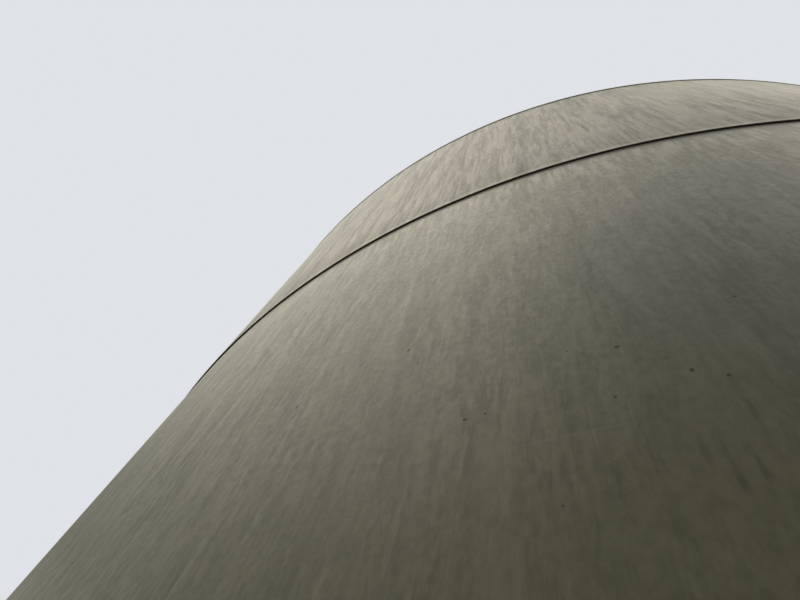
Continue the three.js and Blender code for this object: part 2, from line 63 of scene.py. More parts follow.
QUARTERS = (45, 135, 225, 315)  # azimuths of the seams in the roof and the hopper
WALL_RADIUS = 2.14  # where the paint's pattern is laid out, in metres
UP = (0, 0, 1)
IDENTITY = Matrix.Identity(4)

Corner = tuple[float, float]
Point = tuple[float, float, float]
Spots = Iterable[tuple[Point, Point]]
Colour = tuple[float, float, float]
Socket = bpy.types.NodeSocket
Piece = bpy.types.Object
Mesh = bpy.types.Mesh
Material = bpy.types.Material


class Slot(Enum):
    """The record's material slots."""

    WALL = "wall_paint"
    HOPPER = "hopper_paint"
    ROOF = "roof_paint"
    FRAME = "frame_paint"
    ZINC = "galvanised"
    SEALANT = "sealant"
    WINDOW = "window_plastic"


class Run(Enum):
    """How the streaks in a finish run."""

    ROUND_AXIS = "down the wall or the slope, spread by azimuth"
    PLAIN = "straight down, spread over the piece"


def srgb(red: float, green: float, blue: float) -> Colour:
    """Turns a screen colour into the linear one that shaders read.

    Args:
        red: Red from 0 to 255.
        green: Green from 0 to 255.
        blue: Blue from 0 to 255.

    Returns:
        The linear colour, each channel from 0 to 1.
    """
    shares = (value / 255 for value in (red, green, blue))
    return tuple(s / 12.92 if s <= 0.04045 else ((s + 0.055) / 1.055) ** 2.4 for s in shares)


def polar(radius: float, azimuth: float, height: float = 0.0) -> Point:
    """The point at a radius, azimuth in degrees and height."""
    turn = math.radians(azimuth)
    return radius * math.cos(turn), radius * math.sin(turn), height


def turned(azimuth: float) -> Matrix:
    """A turn about the bin's axis, in degrees."""
    return Matrix.Rotation(math.radians(azimuth), 4, "Z")


def aimed(start: Sequence[float], towards: Sequence[float]) -> Matrix:
    """Takes the origin to a point and +Z to a direction."""
    facing = Vector(towards).to_track_quat("Z", "Y").to_matrix().to_4x4()
    return Matrix.Translation(start) @ facing


def placed(where: Matrix, spot: Sequence[float]) -> Point:
    """Takes a point to its place."""
    return tuple(where @ Vector(spot))


def faced(where: Matrix, direction: Point) -> Point:
    """Turns a direction as its piece is turned."""
    return tuple(where.to_3x3() @ Vector(direction))


def oblong(inner: float, outer: float, low: float, high: float) -> list[Corner]:
    """The corners of an outline between two radii and two heights."""
    return [(inner, low), (outer, low), (outer, high), (inner, high)]


def hoop_path(radius: float, height: float, sides: int = SIDES) -> list[Point]:
    """The points of a level circle, the first one repeated at its end."""
    return [polar(radius, 360 * k / sides, height) for k in range(sides + 1)]


def meridians(azimuths: Sequence[float], *section: Corner) -> list[list[Point]]:
    """A line through the points of a section, at each azimuth."""
    return [[polar(radius, azimuth, height) for radius, height in section] for azimuth in azimuths]


def rounded(start: Vector, corner: Vector, end: Vector, steps: int) -> list[Vector]:
    """The points of a curve that takes a corner off between two points."""
    shares = [step / steps for step in range(steps + 1)]
    return [start.lerp(corner, share).lerp(corner.lerp(end, share), share) for share in shares]


def eased(corners: Sequence[Corner], ease: float, steps: int = 2) -> list[Corner]:
    """Rounds the corners of a closed outline.

    Args:
        corners: The outline's corners. One on the axis, at zero, is left alone.
        ease: How far from a corner its rounding starts.
        steps: Flats in each rounding.

    Returns:
        The rounded outline.
    """
    outline: list[Vector] = []
    for index, corner in enumerate(corners):
        here = Vector(corner)
        back = Vector(corners[index - 1]) - here
        onward = Vector(corners[(index + 1) % len(corners)]) - here
        if abs(here.x) < ON_AXIS:
            outline.append(here)
            continue
        start = here + back.normalized() * min(ease, MOST_EASE * back.length)
        end = here + onward.normalized() * min(ease, MOST_EASE * onward.length)
        outline += rounded(start, here, end, steps)
    return [(spot.x, spot.y) for spot in outline]


def bent(corners: Sequence[Point], bend: float, steps: int = 6) -> list[Point]:
    """Rounds the inner corners of an open path, as a bent rod has them.

    Args:
        corners: The path's corners.
        bend: How far from a corner its rounding starts.
        steps: Pieces in each rounding.

    Returns:
        The rounded path.
    """
    path = [Vector(corners[0])]
    for back, here, onward in zip(corners, corners[1:], corners[2:]):
        middle = Vector(here)
        start = middle + (Vector(back) - middle).normalized() * bend
        end = middle + (Vector(onward) - middle).normalized() * bend
        path += rounded(start, middle, end, steps)
    path.append(Vector(corners[-1]))
    return [tuple(spot) for spot in path]


def pressed(spot: Sequence[float]) -> Vector:
    """How the rolled sheets stray from true rings, from the rolling and the welds.

    Args:
        spot: A place on a wall ring or on the lip, in millimetres.

    Returns:
        How far the sheet is pressed in there, never outwards.
    """
    x, y, z = spot
    away = max(math.hypot(x, y), 1.0)
    out = Vector((x / away, y / away, 0))
    wave = noise.noise(Vector((out.x * 3.2, out.y * 3.2, z / 700)))
    ripple = noise.noise(Vector((out.x * 11, out.y * 11, z / 300)))
    return -out * max(0.0, PRESSED + WAVE * wave + RIPPLE * ripple)


class Mould:
    """Gathers the closed solids of one piece, in millimetres, and casts them."""

    def __init__(self) -> None:
        """Starts empty."""
        self.shape = bmesh.new()

    def pour(self, solid: bmesh.types.BMesh, where: Matrix) -> None:
        """Adds a closed solid, with its faces turned outwards.

        Args:
            solid: The solid, which is freed.
            where: Takes it to its place.
        """
        bmesh.ops.recalc_face_normals(solid, faces=solid.faces)
        mesh = bpy.data.meshes.new("pour")
        solid.to_mesh(mesh)
        solid.free()
        mesh.transform(where)
        self.shape.from_mesh(mesh)
        bpy.data.meshes.remove(mesh)

    def lathe(
        self,
        corners: Sequence[Corner],
        sides: int = SIDES,
        ease: float = 0.0,
        where: Matrix = IDENTITY,
    ) -> None:
        """Spins an outline of radius and height round the Z axis.

        Args:
            corners: The outline. It closes on itself, or starts and ends on the axis.
            sides: Flats round the piece.
            ease: Rounding of the outline's corners.
            where: Takes the piece from the Z axis to its place.
        """
        solid = bmesh.new()
        rings = []
        for radius, height in eased(corners, ease) if ease else corners:
            if radius < ON_AXIS:
                rings.append([solid.verts.new((0, 0, height))] * sides)
            else:
                ring = hoop_path(radius, height, sides)[:-1]
                rings.append([solid.verts.new(spot) for spot in ring])
        for low, high in zip(rings, rings[1:] + rings[:1]):
            for k in range(sides):
                onward = (k + 1) % sides
                face = dict.fromkeys((low[k], low[onward], high[onward], high[k]))
                if len(face) > 2:
                    solid.faces.new(list(face))
        self.pour(solid, where)

    def column(
        self,
        outline: Sequence[Corner],
        low: float,
        rule: Callable[[float], float],
        ease: float,
        where: Matrix = IDENTITY,
    ) -> None:
        """Raises an outline in the XY plane.

        Args:
            outline: The outline's corners.
            low: Height of its lower end.
            rule: Gives the height of its upper end at X.
            ease: Rounding of the upright edges.
            where: Takes the piece to its place.
        """
        solid = bmesh.new()
        shape = eased(outline, ease, 4)
        base = [solid.verts.new((x, y, low)) for x, y in shape]
        top = [solid.verts.new((x, y, rule(x))) for x, y in shape]
        for k in range(len(shape)):
            solid.faces.new((base[k - 1], base[k], top[k], top[k - 1]))
        solid.faces.new(base[::-1])
        solid.faces.new(top)
        self.pour(solid, where)

    def block(
        self, low: Point, high: Point, ease: float = 1.5, where: Matrix = IDENTITY
    ) -> None:
        """Makes a plate or bar with rounded edges.

        Args:
            low: Its corner with the least of each number.
            high: The corner across from that.
            ease: Rounding of its edges.
            where: Takes it to its place.
        """
        solid = bmesh.new()
        bmesh.ops.create_cube(solid, size=1.0)
        middle = (Vector(low) + Vector(high)) / 2
        for vertex in solid.verts:
            spread = [(b - a) * part for a, b, part in zip(low, high, vertex.co)]
            vertex.co = middle + Vector(spread)
        bmesh.ops.bevel(
            solid,
            geom=solid.edges[:],
            offset=ease,
            segments=2,
            profile=0.5,
            affect="EDGES",
            clamp_overlap=True,
        )
        self.pour(solid, where)

    def rod(
        self, start: Point, end: Point, radius: float, sides: int = 24, ease: float = 1.0
    ) -> None:
        """A round bar from one point to another."""
        along = Vector(end) - Vector(start)
        self.lathe(oblong(0.0, radius, 0.0, along.length), sides, ease, aimed(start, along))

    def hoop(self, radius: float, thickness: float, where: Matrix, sides: int = 96) -> None:
        """A ring of round bar."""
        section = hoop_path(thickness, 0.0, 16)[:-1]
        self.lathe([(radius + x, y) for x, y, _ in section], sides, 0.0, where)

    def sweep(
        self, path: Sequence[Point], radius: float, sides: int = 12, where: Matrix = IDENTITY
    ) -> None:
        """Makes a round bar along an open path.

        Args:
            path: The path's points.
            radius: The bar's radius.
            sides: Flats round the bar.
            where: Takes it to its place.
        """
        solid = bmesh.new()
        spots = [Vector(spot) for spot in path]
        tangents = [
            (onward - back).normalized()
            for back, onward in zip(spots[:1] + spots[:-1], spots[1:] + spots[-1:])
        ]
        across = tangents[0].orthogonal().normalized()
        rings = []
        for index, (spot, tangent) in enumerate(zip(spots, tangents)):
            if index:
                across = tangents[index - 1].rotation_difference(tangent) @ across
            side = tangent.cross(across)
            section = hoop_path(radius, 0.0, sides)[:-1]
            rings.append([solid.verts.new(spot + across * x + side * y) for x, y, _ in section])
        for low, high in zip(rings, rings[1:]):
            for k in range(sides):
                solid.faces.new((low[k - 1], low[k], high[k], high[k - 1]))
        solid.faces.new(rings[0])
        solid.faces.new(rings[-1])
        self.pour(solid, where)

    def cast(self, name: str) -> Piece:
        """Casts the piece in metres.

        Args:
            name: The piece's name.

        Returns:
            The piece, smooth but for its edges.
        """
        mesh = bpy.data.meshes.new(name)
        self.shape.to_mesh(mesh)
        self.shape.free()
        mesh.transform(Matrix.Scale(MM, 4))
        smoothed(mesh)
        return linked(name, mesh)


def smoothed(mesh: Mesh) -> None:
    """Makes a mesh smooth but for its edges."""
    mesh.polygons.foreach_set("use_smooth", [True] * len(mesh.polygons))
    mesh.set_sharp_from_angle(angle=SMOOTH_ANGLE)


def linked(name: str, mesh: Mesh) -> Piece:
    """Links a mesh to the scene.

    Args:
        name: The new object's name.
        mesh: Its mesh, in metres and in place.

    Returns:
        The new object.
    """
    piece = bpy.data.objects.new(name, mesh)
    bpy.context.scene.collection.objects.link(piece)
    return piece


def settled(piece: Piece) -> Piece:
    """Turns what an object's modifiers make into its plain mesh.

    Args:
        piece: The object.

    Returns:
        The object, without modifiers and smooth but for its edges.
    """
    depsgraph = bpy.context.evaluated_depsgraph_get()
    evaluated = piece.evaluated_get(depsgraph)
    mesh = bpy.data.meshes.new_from_object(evaluated, depsgraph=depsgraph)
    piece.modifiers.clear()
    piece.data = mesh
    smoothed(mesh)
    return piece


def drilled(
    piece: Piece,
    radius: float,
    low: float,
    high: float,
    sides: int = 128,
    where: Matrix = IDENTITY,
) -> Piece:
    """Cuts a round hole in a piece.

    Args:
        piece: The piece.
        radius: The hole's radius.
        low: Where the hole starts on its axis.
        high: Where it ends.
        sides: Flats round the hole.
        where: Takes the Z axis to the hole's axis.

    Returns:
        The piece.
    """
    drill = Mould()
    drill.lathe(oblong(0.0, radius, low, high), sides, 0.0, where)
    cutter = drill.cast("drill")
    modifier = piece.modifiers.new("cut", "BOOLEAN")
    modifier.operation = "DIFFERENCE"
    modifier.solver = "EXACT"
    modifier.object = cutter
    settled(piece)
    bpy.data.objects.remove(cutter)
    return piece


def moved(piece: Piece, rule: Callable[[Vector], Vector]) -> Piece:
    """Moves each vertex of a piece.

    Args:
        piece: The piece.
        rule: Gives the move at a place, both in millimetres.

    Returns:
        The piece.
    """
    for vertex in piece.data.vertices:
        vertex.co += rule(vertex.co / MM) * MM
    return piece


def points(spots: Spots) -> Mesh:
    """Makes loose points, each with a direction that it faces.

    Args:
        spots: The points, in millimetres, and their directions.

    Returns:
        The points as a mesh, in metres.
    """
    pairs = list(spots)
    mesh = bpy.data.meshes.new("points")
    mesh.from_pydata([[c * MM for c in spot] for spot, _ in pairs], [], [])
    facing = mesh.attributes.new("facing", "FLOAT_VECTOR", "POINT")
    facing.data.foreach_set("vector", [part for _, aim in pairs for part in aim])
    return mesh


def paths(lines: Iterable[Sequence[Point]]) -> Mesh:
    """Makes open paths.

    Args:
        lines: The points of each path, in millimetres.

    Returns:
        The paths as edges, in metres.
    """
    spots: list[list[float]] = []
    edges: list[tuple[int, int]] = []
    for line in lines:
        first = len(spots)
        spots.extend([c * MM for c in spot] for spot in line)
        edges.extend((k, k + 1) for k in range(first, len(spots) - 1))
    mesh = bpy.data.meshes.new("paths")
    mesh.from_pydata(spots, edges, [])
    return mesh


def maths(operation: str, swapped: bool = False) -> Callable[..., "Wire"]:
    """Makes an operator of a wire.

    Args:
        operation: The Math node's operation.
        swapped: Whether the wire stands on the right.

    Returns:
        The operator.
    """

    def operator(self: "Wire", *others: "Wire | float") -> "Wire":
        """Adds a Math node on the wire and what it meets."""
        values = (*others, self) if swapped else (self, *others)
        return self.nodes.add("ShaderNodeMath", dict(enumerate(values)), operation=operation)

    return operator


class Wire:
    """A node's output in an expression. Arithmetic on it adds Math nodes."""

    def __init__(self, nodes: "Nodes", socket: Socket) -> None:
        """Wraps an output socket."""
        self.nodes = nodes
        self.socket = socket

    __add__, __radd__ = maths("ADD"), maths("ADD", True)
    __sub__, __rsub__ = maths("SUBTRACT"), maths("SUBTRACT", True)
    __mul__, __rmul__ = maths("MULTIPLY"), maths("MULTIPLY", True)
    __truediv__, __rtruediv__ = maths("DIVIDE"), maths("DIVIDE", True)
    __pow__ = maths("POWER")
    __abs__ = maths("ABSOLUTE")
    most = maths("MAXIMUM")

    def ramp(self, low: float, high: float) -> "Wire":
        """Rises smoothly from 0 to 1, or falls from 1 to 0.

        Args:
            low: Where it is 0.
            high: Where it is 1, which may be less than low.

        Returns:
            The ramp.
        """
        span = {0: self, 1: min(low, high), 2: max(low, high), 3: 0.0, 4: 1.0}
        risen = self.nodes.add("ShaderNodeMapRange", span, interpolation_type="SMOOTHSTEP")
        return risen if low < high else 1 - risen


class Nodes:
    """The nodes of one tree, of geometry or of a material."""

    tree: bpy.types.NodeTree

    def feed(self, socket: Socket, value: Any) -> None:
        """Gives a socket a value or a link.

        Args:
            socket: The input socket.
            value: A number, a colour of three numbers, a wire or an output socket.
        """
        value = value.socket if isinstance(value, Wire) else value
        if isinstance(value, Socket):
            self.tree.links.new(value, socket)
        else:
            socket.default_value = (*value, 1.0) if socket.type == "RGBA" else value

    def add(
        self, kind: str, inputs: dict[str | int, Any], output: str | int = 0, **settings: Any
    ) -> Wire:
        """Adds a node.

        Args:
            kind: The node's type.
            inputs: The values or links of its sockets. A list links more than one.
            output: Which output is handed back.
            settings: Its properties, which are set first.

        Returns:
            That output.
        """
        node = self.tree.nodes.new(kind)
        for key, value in settings.items():
            setattr(node, key, value)
        for key, value in inputs.items():
            for one in value if isinstance(value, list) else [value]:
                self.feed(node.inputs[key], one)
        return Wire(self, node.outputs[output])


class Tree(Nodes):
    """A Geometry Nodes tree with named inputs."""

    def __init__(self, name: str, floats: Sequence[str], others: dict[str, str]) -> None:
        """Starts the tree.

        Args:
            name: The tree's name.
            floats: Names of the inputs that are plain numbers.
            others: The kind of socket of each other input, such as Int.
        """
        self.name = name
        self.tree = bpy.data.node_groups.new(name, "GeometryNodeTree")
        face = self.tree.interface
        for way in ("INPUT", "OUTPUT"):
            face.new_socket(name="Geometry", in_out=way, socket_type="NodeSocketGeometry")
        self.identifiers = {}
        for label, kind in (dict.fromkeys(floats, "Float") | others | {"Material": "Material"}).items():
            socket = face.new_socket(name=label, in_out="INPUT", socket_type=f"NodeSocket{kind}")
            self.identifiers[label] = socket.identifier
        self.given = self.tree.nodes.new("NodeGroupInput").outputs
        self.made = self.tree.nodes.new("NodeGroupOutput").inputs

    def form(self, kind: str, inputs: dict[str | int, Any], **settings: Any) -> Wire:
        """Adds a node that makes or changes geometry."""
        return self.add(f"GeometryNode{kind}", inputs, **settings)

    def aim(self, **settings: str) -> Wire:
        """The turn that takes +Z to where each point faces."""
        facing = self.form("InputNamedAttribute", {0: "facing"}, data_type="FLOAT_VECTOR")
        return self.add("FunctionNodeAlignRotationToVector", {"Vector": facing}, axis="Z", **settings)

    def close(self, geometry: Wire) -> None:
        """Ends the tree in realized instances with the material.

        Args:
            geometry: What the tree has made.
        """
        real = self.form("RealizeInstances", {"Geometry": geometry})
        coated = self.form("SetMaterial", {"Geometry": real, "Material": self.given["Material"]})
        self.feed(self.made["Geometry"], coated)

    def scatter(self, spots: Wire | Socket, one: Wire, **inputs: Wire) -> None:
        """Ends the tree in an instance on each point."""
        self.close(self.form("InstanceOnPoints", {"Points": spots, "Instance": one} | inputs))

    def grow(self, name: str, base: Mesh, values: dict[str, Any]) -> Piece:
        """Runs the tree on a mesh and keeps the result as a plain mesh.

        Args:
            name: The new object's name.
            base: The points or path that the tree works on, in metres.
            values: The named inputs.

        Returns:
            The new object.
        """
        piece = linked(name, base)
        modifier = piece.modifiers.new(self.name, "NODES")
        modifier.node_group = self.tree
        for label, value in values.items():
            modifier[self.identifiers[label]] = value
        return settled(piece)


class FastenerTree(Tree):
    """A washer and a six-sided head on each point, facing where the point says."""

    def __init__(self) -> None:
        """Builds the tree."""
        sizes = ["Head Radius", "Head Height", "Washer Radius", "Washer Height"]
        super().__init__("fasteners", sizes, {"Seed": "Int"})
        washer = self.disc(16, "Washer", 0.0)
        head = self.disc(6, "Head", self.given["Washer Height"])
        bolt = self.form("JoinGeometry", {0: [washer, head]})
        limits = {"Min": 0.0, "Max": math.tau, "Seed": self.given["Seed"]}
        turn = self.add("FunctionNodeRandomValue", limits, "Value", data_type="FLOAT")
        roll = self.add("FunctionNodeAxisAngleToRotation", {"Axis": UP, "Angle": turn})
        turns = {"Rotation": self.aim(), "Rotate By": roll}
        rotation = self.add("FunctionNodeRotateRotation", turns, rotation_space="LOCAL")
        self.scatter(self.given["Geometry"], bolt, Rotation=rotation)

    def disc(self, sides: int, part: str, low: Socket | float) -> Wire:
        """A disc with its upper edge drawn in.

        Args:
            sides: Its flats.
            part: Whose sizes it has, the head's or the washer's.
            low: The height that it stands on.

        Returns:
            The disc.
        """
        radius = self.given[f"{part} Radius"]
        tip = self.add("ShaderNodeMath", {0: radius, 1: 0.86}, operation="MULTIPLY")
        sizes = {"Vertices": sides, "Side Segments": 1, "Radius Top": tip, "Radius Bottom": radius}
        sizes["Depth"] = self.given[f"{part} Height"]
        body = self.form("MeshCone", sizes, fill_type="NGON")
        lift = self.add("ShaderNodeCombineXYZ", {"Z": low})
        return self.form("Transform", {"Geometry": body, "Translation": lift})


class BeadTree(Tree):
    """A weld bead or a line of sealant along a path, uneven as a hand lays it."""

    def __init__(self) -> None:
        """Builds the tree."""
        super().__init__("beads", ["Radius", "Step", "Unevenness"], {"Sides": "Int"})
        path = self.form("MeshToCurve", {"Mesh": self.given["Geometry"]})
        even = self.form("ResampleCurve", {"Curve": path, "Length": self.given["Step"]}, mode="LENGTH")
        lumps = self.add("ShaderNodeTexNoise", {"Scale": 70.0, "Detail": 2.0}, "Fac")
        centred = self.add("ShaderNodeMath", {0: lumps, 1: 0.5}, operation="SUBTRACT")
        terms = {0: centred, 1: self.given["Unevenness"], 2: 1.0}
        swing = self.add("ShaderNodeMath", terms, operation="MULTIPLY_ADD")
        round_bar = {"Resolution": self.given["Sides"], "Radius": self.given["Radius"]}
        section = self.form("CurvePrimitiveCircle", round_bar)
        bead = {"Curve": even, "Profile Curve": section, "Scale": swing, "Fill Caps": True}
        self.close(self.form("CurveToMesh", bead))


class RungTree(Tree):
    """Round rungs across Y, one at each step from a start."""

    def __init__(self) -> None:
        """Builds the tree."""
        others = {"Count": "Int", "Start": "Vector", "Step": "Vector"}
        super().__init__("rungs", ["Radius", "Length"], others)
        row = {"Count": "Count", "Start Location": "Start", "Offset": "Step"}
        line = self.form("MeshLine", {key: self.given[label] for key, label in row.items()})
        sizes = {"Vertices": 24, "Radius": self.given["Radius"], "Depth": self.given["Length"]}
        rung = self.form("MeshCylinder", sizes)
        level = self.form("Transform", {"Geometry": rung, "Rotation": (math.pi / 2, 0, 0)})
        self.scatter(line, level)


class ToothTree(Tree):
    """A tapered tooth across X on each point, pointing where the point says."""

    def __init__(self) -> None:
        """Builds the tree."""
        super().__init__("teeth", ["Width", "Height", "Length"], {})
        corner = math.sqrt(0.5)
        sizes = {"Vertices": 4, "Radius Top": 0.5 * corner, "Radius Bottom": corner, "Depth": 1.0}
        tooth = self.form("MeshCone", sizes, fill_type="NGON")
        square = self.form("Transform", {"Geometry": tooth, "Rotation": (0, 0, math.pi / 4)})
        axes = {"X": "Length", "Y": "Width", "Z": "Height"}
        scale = {axis: self.given[label] for axis, label in axes.items()}
        spread = self.add("ShaderNodeCombineXYZ", scale)
        sized = self.form("Transform", {"Geometry": square, "Scale": spread})
        self.scatter(self.given["Geometry"], sized, Rotation=self.aim(pivot_axis="X"))


class Trees:
    """The Geometry Nodes trees that the pieces share."""

    def __init__(self) -> None:
        """Builds each tree once."""
        self.fasteners = FastenerTree()
        self.beads = BeadTree()
        self.rungs = RungTree()
        self.teeth = ToothTree()


Place = tuple[Wire, Wire, Wire]


class Board(Nodes):
    """The nodes of one material."""

    def __init__(self, name: str, world: bpy.types.World | None = None) -> None:
        """Starts a material with a Principled shader, or takes a world's background.

        Args:
            name: The material's name.
            world: The world, where there is one.
        """
        self.material = world or bpy.data.materials.new(name)
        self.material.use_nodes = True
        self.tree = self.material.node_tree
        self.shader = self.tree.nodes["Background" if world else "Principled BSDF"]

    def place(self) -> Wire:
        """Where the surface is on its object, in metres."""
        return self.add("ShaderNodeTexCoord", {}, "Object")

    def parts(self, vector: Wire) -> Place:
        """The three numbers of a vector."""
        split = self.add("ShaderNodeSeparateXYZ", {0: vector}).socket.node.outputs
        return Wire(self, split[0]), Wire(self, split[1]), Wire(self, split[2])

    def vector(self, x: Wire | float, y: Wire | float, z: Wire | float) -> Wire:
        """A vector of three numbers."""
        return self.add("ShaderNodeCombineXYZ", {0: x, 1: y, 2: z})

    def noise(
        self, vector: Wire, scale: float, detail: float = 2.0, roughness: float = 0.5
    ) -> Wire:
        """Cloudy noise, from 0 to 1 and about a half in the middle."""
        inputs = {"Vector": vector, "Scale": scale, "Detail": detail, "Roughness": roughness}
        return self.add("ShaderNodeTexNoise", inputs, "Fac")

    def cells(self, vector: Wire, scale: float) -> tuple[Wire, Wire]:
        """Scatters points over a surface.

        Args:
            vector: The place on the surface.
            scale: How many points there are along a metre.

        Returns:
            The distance to the nearest point, and a random number for it.
        """
        distance = self.add("ShaderNodeTexVoronoi", {"Vector": vector, "Scale": scale}, "Distance")
        colour = Wire(self, distance.socket.node.outputs["Color"])
        return distance, self.parts(colour)[0]

    def mix(self, share: Wire | float, first: Any, second: Any) -> Wire:
        """A colour between two colours."""
        return self.add("ShaderNodeMix", {0: share, 6: first, 7: second}, 2, data_type="RGBA")

    def bump(self, height: Wire, distance: float, strength: float = 1.0) -> None:
        """Raises the surface by a height from 0 to 1, of a distance in metres."""
        inputs = {"Height": height, "Distance": distance, "Strength": strength}
        self.coat(Normal=self.add("ShaderNodeBump", inputs))

    def coat(self, **sockets: Any) -> None:
        """Feeds the shader's sockets, with _ for each space in a name."""
        for key, value in sockets.items():
            self.feed(self.shader.inputs[key.replace("_", " ")], value)


@dataclass(frozen=True)
class Weave:
    """A noise that is drawn out down a surface, in waves to the metre across it and down it."""

    across: float
    down: float
    detail: float = 2.0
    roughness: float = 0.5

    def over(self, board: Board, place: Place) -> Wire:
        """Makes the noise on a board.

        Args:
            board: The board.
            place: The place on the surface.

        Returns:
            The noise there, from 0 to 1.
        """
        x, y, z = place
        spread = board.vector(x * self.across, y * self.across, z * self.down)
        return board.noise(spread, 1.0, self.detail, self.roughness)


@dataclass(frozen=True)
class Streaks:
    """The noises that weathered paint is made of, each from 0 to 1."""

    grain: Wire
    strokes: Wire
    flecks: Wire
    bands: Wire
    wide: Wire


@dataclass(frozen=True)
class Stain:
    """A mark at one place on the wall: azimuth in degrees, the rest in metres."""

    azimuth: float
    height: float
    across: float
    down: float
    share: float = 1.0  # how strong it is in its middle
    edge: float = 1.0  # where it starts to show, in parts of its size
    full: float = 0.3  # where it is at its strongest

    def near(self, place: Place) -> Wire:
        """Works out how far a place is from the stain's middle.

        Args:
            place: The place.

        Returns:
            The distance, in parts of the stain's size.
        """
        x, y, z = place
        middle = polar(WALL_RADIUS, self.azimuth)
        across = ((x - middle[0]) ** 2 + (y - middle[1]) ** 2) / self.across**2
        return (across + (z - self.height) ** 2 / self.down**2) ** 0.5

    def cover(self, place: Place) -> Wire:
        """How strong the stain is at a place."""
        return self.share * self.near(place).ramp(self.edge, self.full)


@dataclass
class Coat:
    """A coat of paint under way, on which marks are laid one after another."""

    board: Board
    place: Place
    streaks: Streaks
    colour: Wire
    shine: Wire
    dulling: float = 0.9

    def tint(self, share: Wire | float, colour: Colour | Wire) -> None:
        """Mixes in a share of a colour."""
        self.colour = self.board.mix(share, self.colour, colour)

    def soil_and_shade(self, share: Wire, dirt_and_shade: Colour) -> None:
        """Covers a share with dirt, which is dull; at the lap seam the same dark colour is painted shade.
        """
        self.tint(share, dirt_and_shade)
        self.shine = self.shine * (1 - self.dulling * share)


@dataclass(frozen=True)
class WeatheredPaint:
    """Old satin paint on sheet steel, under a film of dirt that rain has combed into streaks."""

    name: str
    light: Colour = srgb(115, 115, 96)
    dark: Colour = srgb(93, 93, 76)
    run: Run = Run.ROUND_AXIS
    blush: Colour = srgb(138, 116, 96)
    # dark dull colour of dirt, also used for the painted shade along the wall's lap seam
    dirt_and_shade: Colour = srgb(40, 35, 26)
    roughness: float = 0.33
    gloss: float = 0.78
    streak_gloss: float = 0.13
    relief: float = 0.0011
    film_range: tuple[float, float] = (0.31, 0.69)
    fold_share: float = 0.045
    marks: float = 1.0  # how strong the specks, smudges and scratches are
    grain: Weave = Weave(120, 80, 3.0, 0.7)
    strokes: Weave = Weave(84, 10, 3.0, 0.6)
    flecks: Weave = Weave(80, 5, 3.0, 0.65)
    bands: Weave = Weave(24, 1.8)
    wide: Weave = Weave(6, 1.4)
    folds: Weave = Weave(34, 7, 4.0, 0.55)
    patches: Weave = Weave(2.6, 2.6)
    smudges: Weave = Weave(80, 18, 3.0, 0.6)
    scratches: Weave = Weave(2, 150, 1.0)
    specks_to_metre: float = 27.0

    def material(self) -> Material:
        """Builds the paint.

        Returns:
            The material.
        """
        board = Board(self.name)
        x, y, z = board.parts(board.place())
        if self.run is Run.ROUND_AXIS:
            away = (x * x + y * y) ** 0.5
            x, y = WALL_RADIUS * x / away, WALL_RADIUS * y / away
        place = (x, y, z)
        weaves = (self.grain, self.strokes, self.flecks, self.bands, self.wide)
        streaks = Streaks(*(weave.over(board, place) for weave in weaves))
        weather = 0.42 * streaks.grain + 0.36 * streaks.strokes + 0.14 * streaks.bands + 0.08 * streaks.wide
        fold = self.folds.over(board, place)
        raised = fold.ramp(0.5, 0.52) * fold.ramp(0.57, 0.53) - fold.ramp(0.5, 0.48) * fold.ramp(0.43, 0.47)
        film = weather + self.fold_share * raised * streaks.wide.ramp(0.3, 0.55)
        film = film.ramp(*self.film_range)
        shine = self.gloss + self.streak_gloss * (film - 0.5)
        coat = Coat(board, place, streaks, board.mix(film, self.dark, self.light), shine)
        coat.tint(0.08 * streaks.wide.ramp(0.5, 0.66), self.blush)
        self.place_marks(coat)
        self.mark(coat)
        board.coat(Base_Color=coat.colour, Coat_Weight=coat.shine, Coat_Roughness=self.roughness)
        board.coat(Roughness=self.roughness + 0.3 * (1 - film), Specular_IOR_Level=0.1)
        height = 0.4 * streaks.grain + 0.3 * streaks.strokes + 0.7 * fold.ramp(0.42, 0.58)
        board.bump(height, self.relief, 0.7)
        return board.material

    def place_marks(self, coat: Coat) -> None:
        """Adds the marks that belong to one place, which plain paint has none of."""

    def mark(self, coat: Coat) -> None:
        """Adds dark specks, smudges that run down, and fine level scratches.

        Args:
            coat: The paint so far.
        """
        x, y, z = coat.place
        distance, pick = coat.board.cells(coat.board.vector(x, y, z * 0.8), self.specks_to_metre)
        patch = self.patches.over(coat.board, coat.place)
        specks = distance.ramp(0.062, 0.036) * pick.ramp(0.55, 0.75) * patch.ramp(0.35, 0.55)
        coat.soil_and_shade(0.65 * self.marks * specks, self.dirt_and_shade)
        smudges = self.smudges.over(coat.board, coat.place).ramp(0.58, 0.68)
        coat.soil_and_shade(0.15 * self.marks * smudges * patch.ramp(0.52, 0.42), self.dirt_and_shade)
        scratches = self.scratches.over(coat.board, coat.place).ramp(0.66, 0.72)
        coat.tint(0.15 * self.marks * scratches * patch.ramp(0.6, 0.68), self.light)


